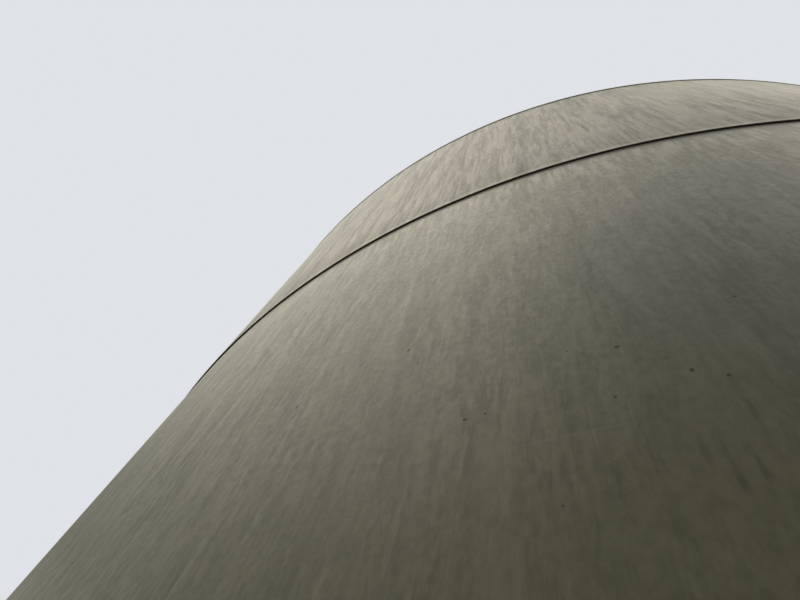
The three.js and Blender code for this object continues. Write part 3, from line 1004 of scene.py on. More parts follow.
@dataclass(frozen=True)
class WallPaint(WeatheredPaint):
    """The wall's paint, paler above the lap seam and run-stained below it, with a painted highlight along
    the upper sheet's lower edge and grime with painted shade under the lap.
    """

    # pale tone of the upper ring, of the runs under the seam and of the weld's trace
    pale_tone: Colour = srgb(157, 153, 147)
    upper_darker_tone: Colour = srgb(129, 126, 120)
    # pale tone of the rolled lines and the pale patch, and of the painted highlight over the seam
    worn_and_highlight: Colour = srgb(176, 172, 158)
    chill: Colour = srgb(84, 86, 88)
    rust: Colour = srgb(98, 76, 56)
    upper_gloss: float = 0.61
    upper_streak_gloss: float = 0.3
    pale_gloss: float = 0.18
    seam: float = 3.109
    cool: Stain = Stain(-83.8, 2.5, 0.3, 0.5, 0.6, 1.25, 0.1)
    rusty: tuple[Stain, ...] = (
        Stain(-78.0, 2.62, 0.2, 0.2, 0.12),
        Stain(-86.0, 1.95, 0.3, 0.3, 0.12),
    )
    reddened: Stain = Stain(-97.5, 3.6, 0.34, 0.5, 0.3)
    pale: Stain = Stain(-73.5, 4.0, 0.5, 0.65)
    rolled: Stain = Stain(-91.0, 3.735, 0.24, 0.25, 0.36, 1.15, 0.25)
    rolled_lines: tuple[float, ...] = (3.662, 3.735, 3.808)
    line_width: tuple[float, float] = (0.018, 0.004)  # half of it, at its edge and where it is full
    weld: Stain = Stain(-90.7, 2.126, 0.066, 1.0, 0.1, 1.0, 0.5)
    # how far above the seam the upper ring is painted darker towards the seam
    darkening_height: float = 0.25
    # height of the painted highlight along the upper sheet's lower edge
    highlight_height: float = 0.035
    run_length: float = 0.24
    washed_length: float = 0.06
    spot_strength: tuple[float, float] = (0.7, 0.4)  # the share, and where it is full
    spots: tuple[Stain, ...] = (
        Stain(-105.8, 2.316, 0.003, 0.01),
        Stain(-99.6, 2.336, 0.0025, 0.008),
        Stain(-96.8, 2.497, 0.0025, 0.003),
        Stain(-95.5, 2.373, 0.0025, 0.005),
        Stain(-95.0, 2.33, 0.002, 0.002),
        Stain(-93.2, 2.184, 0.003, 0.0025),
        Stain(-92.7, 2.185, 0.003, 0.002),
        Stain(-90.5, 2.259, 0.0022, 0.0025),
        Stain(-89.3, 2.245, 0.0038, 0.003),
        Stain(-89.7, 2.165, 0.0018, 0.0025),
        Stain(-88.0, 2.181, 0.0028, 0.0045),
        Stain(-87.4, 2.165, 0.002, 0.0025),
    )
    smear_strength: tuple[float, float] = (0.24, 0.1)
    smears: tuple[Stain, ...] = (
        Stain(-90.1, 2.061, 0.0045, 0.04),
        Stain(-89.4, 2.092, 0.0035, 0.028),
        Stain(-88.5, 2.084, 0.004, 0.024),
        Stain(-88.2, 2.055, 0.004, 0.034),
        Stain(-87.8, 2.056, 0.0035, 0.026),
        Stain(-87.4, 2.115, 0.004, 0.026),
    )

    def place_marks(self, coat: Coat) -> None:
        """Adds what differs over the wall.

        Args:
            coat: The paint so far.
        """
        above = coat.place[2].ramp(self.seam - 0.002, self.seam + 0.002)
        coat.tint(self.cool.cover(coat.place), self.chill)
        for patch in self.rusty:
            coat.tint(patch.cover(coat.place) * coat.streaks.strokes.ramp(0.4, 0.6), self.rust)
        upper = self.upper_coat(coat, above)
        coat.tint(above, upper.colour)
        coat.shine = coat.shine * (1 - above) + upper.shine * above
        self.run_down(coat, 1 - above)
        self.spot(coat)

    def upper_coat(self, lower: Coat, above: Wire) -> Coat:
        """Makes the paler paint of the upper ring, with a painted highlight along its lower edge.

        Args:
            lower: The lower ring's paint.
            above: 1 over the seam and 0 under it.

        Returns:
            The upper ring's paint.
        """
        z, streaks = lower.place[2], lower.streaks
        # The upper ring is painted paler than the lower ring, in two tones mixed by streaks and flecks.
        upper_mottle = (0.15 * streaks.grain + 0.6 * streaks.flecks + 0.25 * streaks.bands).ramp(0.39, 0.6)
        colour = lower.board.mix(upper_mottle, self.upper_darker_tone, self.pale_tone)
        shine = self.upper_gloss + self.upper_streak_gloss * (upper_mottle - 0.5)
        coat = Coat(lower.board, lower.place, streaks, colour, shine)
        coat.tint(0.25 * streaks.bands.ramp(0.52, 0.64), self.blush)
        coat.tint(self.reddened.cover(coat.place), self.blush)
        stretch = self.rolled.cover(coat.place) * streaks.flecks.ramp(0.3, 0.5)
        start, full = self.line_width
        for height in self.rolled_lines:
            line = z.ramp(height - start, height - full) * z.ramp(height + start, height + full)
            coat.tint(stretch * line, self.worn_and_highlight)
        # The upper ring is painted darker towards the seam, over its lowest quarter metre, and a little
        # less glossy there.
        settled = z.ramp(self.seam + self.darkening_height, self.seam + 0.01) * above
        coat.tint(0.35 * settled, self.dark)
        pale = self.pale.cover(coat.place)
        # Painted highlight: the upper sheet's lowest centimetres are tinted pale and made glossier, for
        # light caught on its lower edge.
        edge = z.ramp(self.seam + self.highlight_height, self.seam + 0.01)
        coat.tint((0.55 * pale).most(0.5 * edge), self.worn_and_highlight)
        coat.shine = coat.shine - 0.1 * settled + self.pale_gloss * pale + self.pale_gloss * edge
        return coat

    def run_down(self, coat: Coat, below: Wire) -> None:
        """Adds the pale runs under the seam, its grime and painted shade, and the trace of the weld inside.

        Args:
            coat: The paint so far.
            below: 1 under the seam and 0 over it.
        """
        z = coat.place[2]
        under = z.ramp(self.seam - self.run_length, self.seam) * below
        washed = z.ramp(self.seam - self.washed_length, self.seam) * below
        runs = (under * (0.3 + 0.6 * coat.streaks.strokes.ramp(0.44, 0.6))).most(0.9 * washed)
        coat.tint(runs, self.pale_tone)
        coat.shine = coat.shine + 0.1 * runs + 0.1 * washed
        # Grime and painted shade: a thin dark, dull band along the seam, under the lip of the upper ring.
        coat.soil_and_shade(0.9 * abs(z - self.seam).ramp(0.0013, 0.0005), self.dirt_and_shade)
        trace = abs(z - self.weld.height).ramp(0.003, 0.0005)
        coat.tint(trace * self.weld.cover(coat.place), self.pale_tone)

    def spot(self, coat: Coat) -> None:
        """Adds small dark spots and smears, with ragged edges.

        Args:
            coat: The paint so far.
        """
        ragged = coat.streaks.grain - 0.5
        kinds = ((self.spots, self.spot_strength), (self.smears, self.smear_strength))
        for stains, (share, full) in kinds:
            for stain in stains:
                near = stain.near(coat.place) + ragged
                coat.soil_and_shade(share * near.ramp(1.0, full), self.dirt_and_shade)


@dataclass(frozen=True)
class Zinc:
    """Hot-dip zinc on steel, with spangle, dull patches and white bloom."""

    name: str = "galvanised"
    bright: Colour = srgb(168, 172, 174)
    dull: Colour = srgb(122, 126, 128)
    bloom: Colour = srgb(196, 198, 194)

    def material(self) -> Material:
        """Builds the coating.

        Returns:
            The material.
        """
        board = Board(self.name)
        place = board.place()
        _, grain = board.cells(place, 70.0)
        cloud = board.noise(place, 9.0, 4.0, 0.6)
        colour = board.mix(0.55 * grain + 0.45 * cloud, self.dull, self.bright)
        white = board.noise(place, 32.0, 5.0, 0.7).ramp(0.58, 0.74)
        colour = board.mix(0.5 * white, colour, self.bloom)
        rough = 0.36 + 0.2 * cloud + 0.25 * white
        board.coat(Base_Color=colour, Metallic=0.85 - 0.5 * white, Roughness=rough)
        board.bump(board.noise(place, 240.0), 0.0002, 0.4)
        return board.material


@dataclass(frozen=True)
class BlackSealant:
    """Black sealant or rubber, matt and slightly crumpled."""

    name: str = "sealant"
    base: Colour = srgb(8, 8, 8)
    dusty: Colour = srgb(20, 19, 18)

    def material(self) -> Material:
        """Builds the sealant.

        Returns:
            The material.
        """
        board = Board(self.name)
        place = board.place()
        dust = board.noise(place, 40.0, 4.0, 0.6).ramp(0.5, 0.8)
        board.coat(Base_Color=board.mix(0.6 * dust, self.base, self.dusty))
        board.coat(Roughness=0.7 + 0.2 * dust, Specular_IOR_Level=0.2)
        board.bump(board.noise(place, 120.0, 3.0), 0.0006, 0.6)
        return board.material


@dataclass(frozen=True)
class ClearPlastic:
    """A moulded window that the sun has yellowed and scuffed."""

    name: str = "window_plastic"
    clear: Colour = srgb(176, 178, 160)
    yellowed: Colour = srgb(118, 108, 84)

    def material(self) -> Material:
        """Builds the plastic.

        Returns:
            The material.
        """
        board = Board(self.name)
        place = board.place()
        cloud = board.noise(place, 16.0, 3.0, 0.6)
        board.coat(Base_Color=board.mix(cloud.ramp(0.35, 0.7), self.yellowed, self.clear))
        board.coat(Roughness=0.14 + 0.3 * cloud, Coat_Weight=0.5, Coat_Roughness=0.15)
        board.bump(board.noise(place, 60.0, 3.0), 0.0003, 0.4)
        return board.material


def finishes() -> dict[Slot, Material]:
    """Makes each finish once.

    Returns:
        The material of each record slot.
    """
    paints = {
        Slot.WALL: WallPaint("wall_paint"),
        Slot.ROOF: WeatheredPaint("roof_paint", roughness=0.5),
        Slot.HOPPER: WeatheredPaint("hopper_paint", marks=0.6),
        Slot.FRAME: WeatheredPaint("frame_paint", run=Run.PLAIN, marks=1.4),
        Slot.ZINC: Zinc(),
        Slot.SEALANT: BlackSealant(),
        Slot.WINDOW: ClearPlastic(),
    }
    return {slot: finish.material() for slot, finish in paints.items()}


@dataclass
class SubAssembly:
    """A group of pieces that are built and dressed together."""

    trees: Trees
    finishes: dict[Slot, Material]

    def dress(self, piece: Piece, slot: Slot, *nodes: str) -> None:
        """Gives a piece its finish and its place in the frame.

        Args:
            piece: The piece, in place.
            slot: The record slot of its finish.
            nodes: The frame's nodes that it stands for.
        """
        piece.data.materials.clear()
        piece.data.materials.append(self.finishes[slot])
        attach(piece, BODY)
        if nodes:
            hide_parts(*nodes)
        triangles = sum(len(face.vertices) - 2 for face in piece.data.polygons)
        LOG.info("%s: %d triangles", piece.name, triangles)

    def grow(
        self, tree: Tree, name: str, base: Mesh, slot: Slot, values: dict[str, Any]
    ) -> None:
        """Grows a tree on a mesh, and dresses the result."""
        self.dress(tree.grow(name, base, values | {"Material": self.finishes[slot]}), slot)

    def bolts(self, name: str, spots: Spots, head: float = 8.0) -> None:
        """Sets bolt heads on washers.

        Args:
            name: The piece's name.
            spots: Where each stands, and which way it faces.
            head: Radius of the heads.
        """
        shares = {"Head Radius": 1.0, "Head Height": 1.3, "Washer Radius": 1.6, "Washer Height": 0.3}
        values = {label: share * head * MM for label, share in shares.items()}
        self.grow(self.trees.fasteners, name, points(spots), Slot.ZINC, values | {"Seed": 7})

    def weld(
        self,
        name: str,
        lines: Iterable[Sequence[Point]],
        slot: Slot = Slot.FRAME,
        radius: float = 3.0,
        step: float = 12.0,
        unevenness: float = 0.7,
    ) -> None:
        """Lays beads along paths.

        Args:
            name: The piece's name.
            lines: The paths.
            slot: The record slot of its finish.
            radius: Radius of the bead.
            step: How far apart its rings are.
            unevenness: How much its radius varies.
        """
        values = {"Radius": radius * MM, "Step": step * MM, "Unevenness": unevenness, "Sides": 8}
        self.grow(self.trees.beads, name, paths(lines), slot, values)


@dataclass
class Skid(SubAssembly):
    """The square frame on the ground: two runners and two cross tubes."""

    reach: float = 1917.94
    half_length: float = 2450.0
    width: float = 102.0
    height: float = 152.0
    slope_run: float = 150.0
    nose: float = 40.0
    runner_corner: float = 5.0
    cross_corner: float = 7.0
    bead: float = 4.0

    def build(self) -> None:
        """Builds the runners, the cross tubes and their welds."""
        half, half_width, tall = self.half_length, self.width / 2, self.height
        ends = [(half - self.slope_run, 0.0), (half, tall - self.nose), (half, tall)]
        back = [(-x, z) for x, z in ends[::-1]]
        outline = back[-1:] + ends + back[:-1]
        upright = Matrix.Rotation(math.pi / 2, 4, "X")
        for side, name in ((1, "left"), (-1, "right")):
            runner = Mould()
            where = Matrix.Translation((0, side * self.reach + half_width, 0)) @ upright
            runner.column(outline, 0.0, lambda x: self.width, self.runner_corner, where)
            self.dress(runner.cast(f"runner_{name}"), Slot.FRAME, f"skid_runner_{name}")
        inner = self.reach - half_width - GAP
        for side, name in ((1, "front"), (-1, "rear")):
            cross = Mould()
            middle = side * self.reach
            low, high = (middle - half_width, -inner, 0.0), (middle + half_width, inner, tall)
            cross.block(low, high, self.cross_corner)
            self.dress(cross.cast(f"cross_tube_{name}"), Slot.FRAME, f"skid_cross_{name}")
        lines = []
        for x_side in (1, -1):
            for y in (inner, -inner):
                for edge in (half_width, -half_width):
                    x = x_side * self.reach + edge
                    lines.append([(x, y, 8.0), (x, y, tall - 4)])
                across = (x_side * self.reach + edge for edge in (5 - half_width, half_width - 5))
                lines.append([(x, y, tall - 1) for x in across])
        self.weld("skid_welds", lines, radius=self.bead)


@dataclass
class BaseRing(SubAssembly):
    """The rolled square tube that lies on the skid."""

    middle: float = 2075.97
    tube: float = 102.0
    low: float = 152.3
    corner: float = 9.0
    splices: tuple[float, ...] = (4, 94, 184, 274)
    sides: int = 288

    def build(self) -> None:
        """Builds the ring and its splice welds."""
        inner, outer = self.middle - self.tube / 2, self.middle + self.tube / 2
        top = self.low + self.tube
        ring = Mould()
        ring.lathe(eased(oblong(inner, outer, self.low, top), self.corner, 4), self.sides)
        self.dress(ring.cast("rolled_ring"), Slot.FRAME, "base_ring")
        inset = self.corner - 2
        over = [(inner + 1, self.low + inset), (inner + 1, top - inset), (inner + inset, top - 1)]
        over += [(outer - inset, top - 1), (outer - 1, top - inset), (outer - 1, self.low + inset)]
        self.weld("ring_splice_welds", meridians(self.splices, *over))


@dataclass
class Legs(SubAssembly):
    """Eight square tubes on foot plates, cut at the top to the hopper's slope."""

    middle: float = 2075.97
    tube: float = 102.0
    low: float = 254.6
    foot_half: float = 75.0
    foot_plate: float = 10.0
    bolt_inset: Corner = (26.0, 12.0)
    corner: float = 6.0
    edge: float = 10.0
    under_cone: float = 1.5
    bead: float = 4.0
    cone_top: Corner = (2129.7, 2118.0)
    slope: float = 35.0
    count: int = 8

    def cone_height(self, radius: float) -> float:
        """Height of the hopper's outside at a radius."""
        return self.cone_top[1] - (self.cone_top[0] - radius) * math.tan(math.radians(self.slope))

    def build(self) -> None:
        """Builds the legs, their bolts and their welds."""
        half, corner = self.tube / 2, self.corner
        inner, outer = self.middle - half, self.middle + half
        foot_top = self.low + self.foot_plate
        loop = [(inner + corner, -half), (outer - corner, -half), (outer, corner - half)]
        loop += [(x, -y) for x, y in loop[::-1]] + [(inner, half - corner), (inner, corner - half)]
        loop.append(loop[0])
        feet, tops, bolts = [], [], []
        for k in range(self.count):
            where = turned((k + 0.5) * 360 / self.count)
            leg = Mould()
            square = oblong(inner, outer, -half, half)
            leg.column(square, self.low, lambda x: self.cone_height(x) - self.under_cone, self.edge, where)
            low, high = (inner, -self.foot_half, self.low), (outer, self.foot_half, foot_top)
            leg.block(low, high, 2.0, where)
            self.dress(leg.cast(f"leg_tube_{k + 1}"), Slot.FRAME, f"leg_{k + 1}")
            inset_x, inset_y = self.bolt_inset
            for x in (inner + inset_x, outer - inset_x):
                for y in (inset_y - self.foot_half, self.foot_half - inset_y):
                    bolts.append((placed(where, (x, y, foot_top)), UP))
            feet.append([placed(where, (x, y, foot_top + 1)) for x, y in loop])
            tops.append([placed(where, (x, y, self.cone_height(x) - 3)) for x, y in loop])
        self.bolts("foot_bolts", bolts)
        self.weld("leg_welds", [line for pair in zip(feet, tops) for line in pair], radius=self.bead)


@dataclass
class Braces(SubAssembly):
    """Crossed pipes with a bolted plate, in every second bay between the legs."""

    middle: float = 2075.97
    half_bay_angle: float = 22.5
    radius: float = 21.0
    low: float = 414.3
    high: float = 1740.0
    plate: float = 90.0
    plate_out: float = 8.0
    bolt_inset: float = 24.0
    leg_half: float = 51.0
    into_leg: float = 30.0
    bolt_head: float = 10.0
    loop_steps: int = 24

    def build(self) -> None:
        """Builds four crosses with their bolts and end welds."""
        across, half_bay, _ = polar(self.middle, self.half_bay_angle)
        face = across + self.radius + self.plate_out
        middle = (self.low + self.high) / 2
        share = self.into_leg / (2 * half_bay)
        reach = self.plate - self.bolt_inset
        bolts, welds = [], []
        for k, azimuth in enumerate(QUARTERS):
            where = turned(azimuth)
            cross = Mould()
            for side in (1, -1):
                start = Vector((across, -side * half_bay, self.low))
                end = Vector((across, side * half_bay, self.high))
                first, last = start.lerp(end, share), end.lerp(start, share)
                cross.rod(placed(where, first), placed(where, last), self.radius, 32, 2.0)
                for near, far in ((start, end), (end, start)):
                    welds.append([placed(where, spot) for spot in self.round_pipe(near, far)])
            low = (across + self.radius / 2, -self.plate, middle - self.plate)
            cross.block(low, (face, self.plate, middle + self.plate), 3.0, where)
            self.dress(cross.cast(f"cross_{k + 1}"), Slot.FRAME, f"cross_brace_{k + 1}")
            for y in (-reach, reach):
                for z in (middle - reach, middle + reach):
                    bolts.append((placed(where, (face, y, z)), faced(where, (1, 0, 0))))
        self.bolts("brace_bolts", bolts, self.bolt_head)
        self.weld("brace_welds", welds)

    def round_pipe(self, near: Vector, far: Vector) -> list[Vector]:
        """The loop where a pipe meets the side of a leg.

        Args:
            near: The pipe's end on the leg's middle.
            far: Its other end.

        Returns:
            The loop's points, the first one repeated at its end.
        """
        along = (far - near).normalized()
        x, y, _ = polar(1.0, self.half_bay_angle)
        normal = Vector((y, -math.copysign(x, near.y), 0))
        ring = along.orthogonal().normalized() * (self.radius + 1)
        loop = []
        for step in range(self.loop_steps + 1):
            around = Matrix.Rotation(math.tau * step / self.loop_steps, 3, along) @ ring
            reach = (self.leg_half - around.dot(normal)) / along.dot(normal)
            loop.append(near + around + along * reach)
        return loop


@dataclass
class Hopper(SubAssembly):
    """The cone, with the hatch in its side."""

    top: Corner = (2129.7, 2118.0)
    low: Corner = (209.97, 773.8)
    plate: float = 4.0
    slope: float = 35.0
    steps: int = 24
    hatch_distance: float = 1330.0
    hatch_radius: float = 230.0
    hatch_azimuth: float = 180.0
    hatch_face: float = 34.0
    hatch_plate: float = 5.0
    hatch_flange: float = 30.0
    hatch_bolts: int = 12
    hatch_bolt_out: float = 15.0
    hatch_neck: float = 20.0
    drill: float = 60.0
    bead: float = 3.2
    sides: int = 288
    grip: Corner = (110.0, 60.0)  # distance from the middle, and half of its length
    grip_rise: float = 40.0
    grip_bend: float = 16.0
    grip_radius: float = 7.0

    def onto_cone(self) -> Matrix:
        """Takes +Z at the origin to the outward normal at the hatch.

        Returns:
            The turn and the move.
        """
        rise = math.tan(math.radians(self.slope))
        height = self.top[1] - (self.top[0] - self.hatch_distance) * rise
        tip = Matrix.Rotation(math.radians(180 - self.slope), 4, "Y")
        place = Matrix.Translation((self.hatch_distance, 0, height))
        return turned(self.hatch_azimuth) @ place @ tip

    def build(self) -> None:
        """Builds the cone, its seams, the hatch and its bolts."""
        self.build_cone()
        self.build_hatch()

    def build_cone(self) -> None:
        """Builds the cone with its hole for the hatch, and its welds."""
        across = self.plate / math.sin(math.radians(self.slope))
        (top, top_z), (low, low_z) = self.top, self.low
        shares = [k / self.steps for k in range(self.steps + 1)]
        outer = [(low + (top - low) * share, low_z + (top_z - low_z) * share) for share in shares]
        inner = [(radius - across, height) for radius, height in outer[::-1]]
        mould = Mould()
        mould.lathe(outer + inner, self.sides)
        hole = (self.hatch_radius, -self.drill, self.drill, 96, self.onto_cone())
        cone = drilled(mould.cast("hopper_cone"), *hole)
        self.dress(cone, Slot.HOPPER, *(f"hopper_sheet_{k}" for k in range(1, 5)))
        seams = meridians(QUARTERS, (low + 6, low_z + 4), (top - 6, top_z - 4))
        round_top = hoop_path(top - 5, top_z - 6, 192)
        self.weld("hopper_welds", [*seams, round_top], Slot.HOPPER, self.bead)

    def build_hatch(self) -> None:
        """Builds the hatch's frame, cover, handles and bolts."""
        where = self.onto_cone()
        face, seat = self.hatch_face, self.hatch_face + GAP
        under, top = face - self.hatch_plate, seat + self.hatch_plate
        outer = self.hatch_radius - GAP
        inner, flange = outer - self.hatch_plate, outer + self.hatch_flange
        neck = [(inner, -self.hatch_neck), (outer, -self.hatch_neck), (outer, under)]
        neck += [(flange, under), (flange, face), (inner, face)]
        ring = Mould()
        ring.lathe(neck, 128, 0.8, where)
        self.dress(ring.cast("hatch_ring"), Slot.FRAME, "hatch_frame")
        cover = Mould()
        cover.lathe(oblong(0.0, flange, seat, top), 128, 1.2, where)
        (away, half), foot, tall = self.grip, top - 2, top + self.grip_rise
        for y in (-away, away):
            corners = [(-half, y, foot), (-half, y, tall), (half, y, tall), (half, y, foot)]
            cover.sweep(bent(corners, self.grip_bend), self.grip_radius, 12, where)
        self.dress(cover.cast("hatch_lid"), Slot.FRAME, "hatch_cover")
        step = 360 / self.hatch_bolts
        turns = [step * (k + 0.5) for k in range(self.hatch_bolts)]
        bolted = outer + self.hatch_bolt_out
        heads = [(placed(where, polar(bolted, turn, top)), faced(where, UP)) for turn in turns]
        self.bolts("hatch_bolts", heads)


@dataclass
class Discharge(SubAssembly):
    """The round spout on its square flange."""

    radius: float = 203.0
    wall: float = 4.0
    low: float = 711.8
    high: float = 773.5
    flange: float = 8.0
    half: float = 290.0
    bolt_inset: float = 22.0
    bolt_step: float = 120.0
    bead: float = 4.0
    sides: int = 128

    def build(self) -> None:
        """Builds the spout and the flange's bolts."""
        outer, top = self.radius + self.wall, self.low + self.flange
        spout = Mould()
        spout.lathe(oblong(self.radius, outer, self.low + 0.5, self.high), self.sides, 0.8)
        spout.block((-self.half, -self.half, self.low), (self.half, self.half, top), 2.0)
        piece = drilled(spout.cast("spout"), self.radius, self.low - 5, self.high + 5)
        self.dress(piece, Slot.FRAME, "discharge_spout")
        edge = self.half - self.bolt_inset
        spots = []
        for along in (k * self.bolt_step for k in range(-2, 3)):
            spots += [(along, edge), (along, -edge), (edge, along), (-edge, along)]
        self.bolts("flange_bolts", [((x, y, top), UP) for x, y in spots])
        rounds = [hoop_path(outer + 1, top + 1, 96), hoop_path(outer + 2, self.high, 96)]
        self.weld("spout_welds", rounds, radius=self.bead)


@dataclass
class Gate(SubAssembly):
    """The slide gate: frame, blade with racks, and the cross shaft with its wheel."""

    top: float = 711.5
    rise: float = 30.0
    half: float = 290.0
    rail: float = 40.0
    run: float = 660.0
    shelf: float = 5.0
    mouth: float = 203.0
    bolt_inset: float = 20.0
    bolt_rows: tuple[float, ...] = (-240.0, -80.0, 80.0, 240.0)
    bearing: Corner = (15.0, 30.0)  # half of its width, and how far it is round the shaft
    shaft_y: float = 420.0
    shaft_z: float = 733.5
    shaft: float = 14.0
    blade_plate: float = 6.0
    blade_gap: float = 1.3
    rack_x: float = 227.5
    rack_rise: float = 14.0
    rack_half: float = 12.5
    rack_teeth: int = 37
    tooth_step: float = 12.0
    pinion: float = 25.0
    pinion_teeth: int = 14
    wheel_x: float = 880.0
    wheel: float = 180.0
    rim: float = 11.0
    spoke: float = 8.0
    hub_half: float = 20.0
    overhang: float = 20.0
    bolt_head: float = 7.0
    pinion_half: float = 11.0
    rack_tooth: Point = (7.0, 5.0, 24.0)  # its width, height and length
    pinion_tooth: Point = (8.0, 6.5, 21.0)

    def build(self) -> None:
        """Builds the frame, the blade and the shaft."""
        self.build_frame()
        self.build_blade()
        self.build_shaft()

    def teeth(self, name: str, spots: Spots, size: Point) -> None:
        """Sets teeth of a width, height and length on the spots."""
        values = {label: part * MM for label, part in zip(("Width", "Height", "Length"), size)}
        self.grow(self.trees.teeth, name, points(spots), Slot.ZINC, values)

    def build_frame(self) -> None:
        """Builds the guides, the bearings, and the shelf round the mouth."""
        half, top, low = self.half, self.top, self.top - self.rise
        inner, end = half - self.rail, half + self.run
        across, round_shaft = self.bearing
        guides = Mould()
        for side in (1, -1):
            x0, x1 = sorted((side * inner, side * half))
            guides.block((x0, -half, low), (x1, end, top), 2.0)
            x, y = side * (half - self.rail / 2), self.shaft_y
            high = (x + across, y + round_shaft, self.shaft_z + round_shaft)
            guides.block((x - across, y - round_shaft, low), high, 3.0)
        guides.block((-half, end - self.rail, low), (half, end, top), 2.0)
        guides.block((-half, -half, low), (half, -inner, top), 2.0)
        self.dress(guides.cast("gate_guides"), Slot.ZINC, "gate_frame")
        shelf = Mould()
        shelf.block((-half, -half, low - self.shelf), (half, half, low + 1), 1.0)
        self.dress(drilled(shelf.cast("gate_shelf"), self.mouth, low - 20, low + 20), Slot.ZINC)
        spots = [
            ((x, y, low - self.shelf), (0, 0, -1))
            for x in (self.bolt_inset - half, half - self.bolt_inset)
            for y in self.bolt_rows
        ]
        self.bolts("gate_bolts", spots, self.bolt_head)

    def build_blade(self) -> None:
        """Builds the blade and the teeth of its racks."""
        low = self.top - self.rise + self.blade_gap
        reach, end = self.half - self.rail - GAP, self.shaft_y + self.bearing[1]
        root = low + self.rack_rise
        blade = Mould()
        blade.block((-reach, -reach, low), (reach, end, low + self.blade_plate), 1.0)
        spots = []
        for x in (self.rack_x, -self.rack_x):
            across = self.rack_half
            blade.block((x - across, 0.0, low + 5), (x + across, end, root), 0.8)
            steps = [8.0 + self.tooth_step * k for k in range(self.rack_teeth)]
            spots += [((x, y, root + 1.4), UP) for y in steps]
        self.dress(blade.cast("blade"), Slot.ZINC, "gate_blade")
        self.teeth("rack_teeth", spots, self.rack_tooth)

    def build_shaft(self) -> None:
        """Builds the shaft, its pinions and the wheel."""
        y, z, hub = self.shaft_y, self.shaft_z, self.wheel_x
        shaft = Mould()
        end = hub + self.hub_half
        shaft.rod((-self.half - self.overhang, y, z), (end, y, z), self.shaft, 32, 2.0)
        shaft.rod((hub - self.hub_half, y, z), (end, y, z), 2 * self.shaft, 32, 2.0)
        spots = []
        for x in (self.rack_x, -self.rack_x):
            across = self.pinion_half
            shaft.rod((x - across, y, z), (x + across, y, z), self.pinion, 32, 1.0)
            for k in range(self.pinion_teeth):
                cos, sin, _ = polar(1.0, 360 * k / self.pinion_teeth)
                root = self.pinion + 1.5
                spots.append(((x, y + root * cos, z + root * sin), (0, cos, sin)))
        shaft.hoop(self.wheel, self.rim, aimed((hub, y, z), (1, 0, 0)))
        for turn in (45, 135):
            across, rise, _ = polar(self.wheel, turn)
            shaft.rod((hub, y - across, z - rise), (hub, y + across, z + rise), self.spoke, 20, 0.5)
        self.dress(shaft.cast("shaft_and_wheel"), Slot.ZINC, "gate_wheel")
        self.teeth("pinion_teeth", spots, self.pinion_tooth)


@dataclass
class Wall(SubAssembly):
    """Two rolled rings, the upper one lapped outside the lower one, and the sealant."""

    lower_outer: float = 2133.0
    upper_outer: float = 2137.6
    sheet: float = 3.0
    bottom: float = 1890.0
    seam: float = 3109.0
    lap: float = 50.0
    eave: float = 4328.0
    ease: float = 0.5
    sides: int = 480
    steps: int = 36
    window_azimuth: float = 13.125
    window_radius: float = 75.0
    window_heights: tuple[float, float] = (2450.0, 4008.0)
    bead: float = 0.8
    seam_bead: float = 2.6
    drill: float = 100.0
    lower_seams: tuple[float, ...] = (-30.0, 90.0, 210.0)
    upper_seams: tuple[float, ...] = (-7.5, 112.5, 232.5)

    def ring(self, name: str, outer: float, low: float, high: float, window: float) -> None:
        """Builds one ring with its window's hole.

        Args:
            name: Its name in the record, without the sheet's number.
            outer: Its outer radius.
            low: Height of its lower edge.
            high: Height of its upper edge.
            window: Height of the window's middle.
        """
        heights = [low + (high - low) * k / self.steps for k in range(1, self.steps)]
        inner, ease = outer - self.sheet, self.ease
        outside = [(outer - ease, low), (outer, low + ease)]
        outside += [(outer, height) for height in heights]
        outside += [(outer, high - ease), (outer - ease, high)]
        inside = [(inner + ease, high), (inner, high - ease)]
        inside += [(inner, height) for height in heights[::-4]]
        inside += [(inner, low + ease), (inner + ease, low)]
        mould = Mould()
        mould.lathe(outside + inside, self.sides)
        place = turned(self.window_azimuth) @ aimed((outer, 0, window), (1, 0, 0))
        piece = moved(mould.cast(f"{name}_ring"), pressed)
        drilled(piece, self.window_radius, -self.drill, self.drill, 64, place)
        self.dress(piece, Slot.WALL, *(f"{name}_wall_{k}" for k in (1, 2, 3)))

    def build(self) -> None:
        """Builds both rings, their upright welds and the sealant in the lap."""
        lower, upper, seam = self.lower_outer, self.upper_outer, self.seam
        self.ring("lower", lower, self.bottom, seam + self.lap, self.window_heights[0])
        self.ring("upper", upper, seam, self.eave, self.window_heights[1])
        seams = meridians(self.lower_seams, (lower - 1.5, self.bottom + 4), (lower - 1.5, seam + 20))
        seams += meridians(self.upper_seams, (upper - 1.5, seam + 4), (upper - 1.5, self.eave - 4))
        self.weld("wall_welds", seams, Slot.WALL, self.seam_bead)
        self.build_sealant()

    def build_sealant(self) -> None:
        """Builds the tape in the lap and the uneven bead under it."""
        inner, outer = self.lower_outer + GAP, self.upper_outer - self.sheet - GAP
        low, high = self.seam + 1, self.seam + self.lap
        tape = Mould()
        tape.lathe(oblong(inner, outer, low, high), self.sides, 0.3)
        self.dress(moved(tape.cast("lap_tape"), pressed), Slot.SEALANT, "seam_sealant")
        hoop = [Vector(spot) for spot in hoop_path((inner + outer) / 2, low - 0.6)]
        lines = [[tuple(spot + pressed(spot)) for spot in hoop]]
        self.weld("lap_bead", lines, Slot.SEALANT, self.bead, 9.0, 0.6)


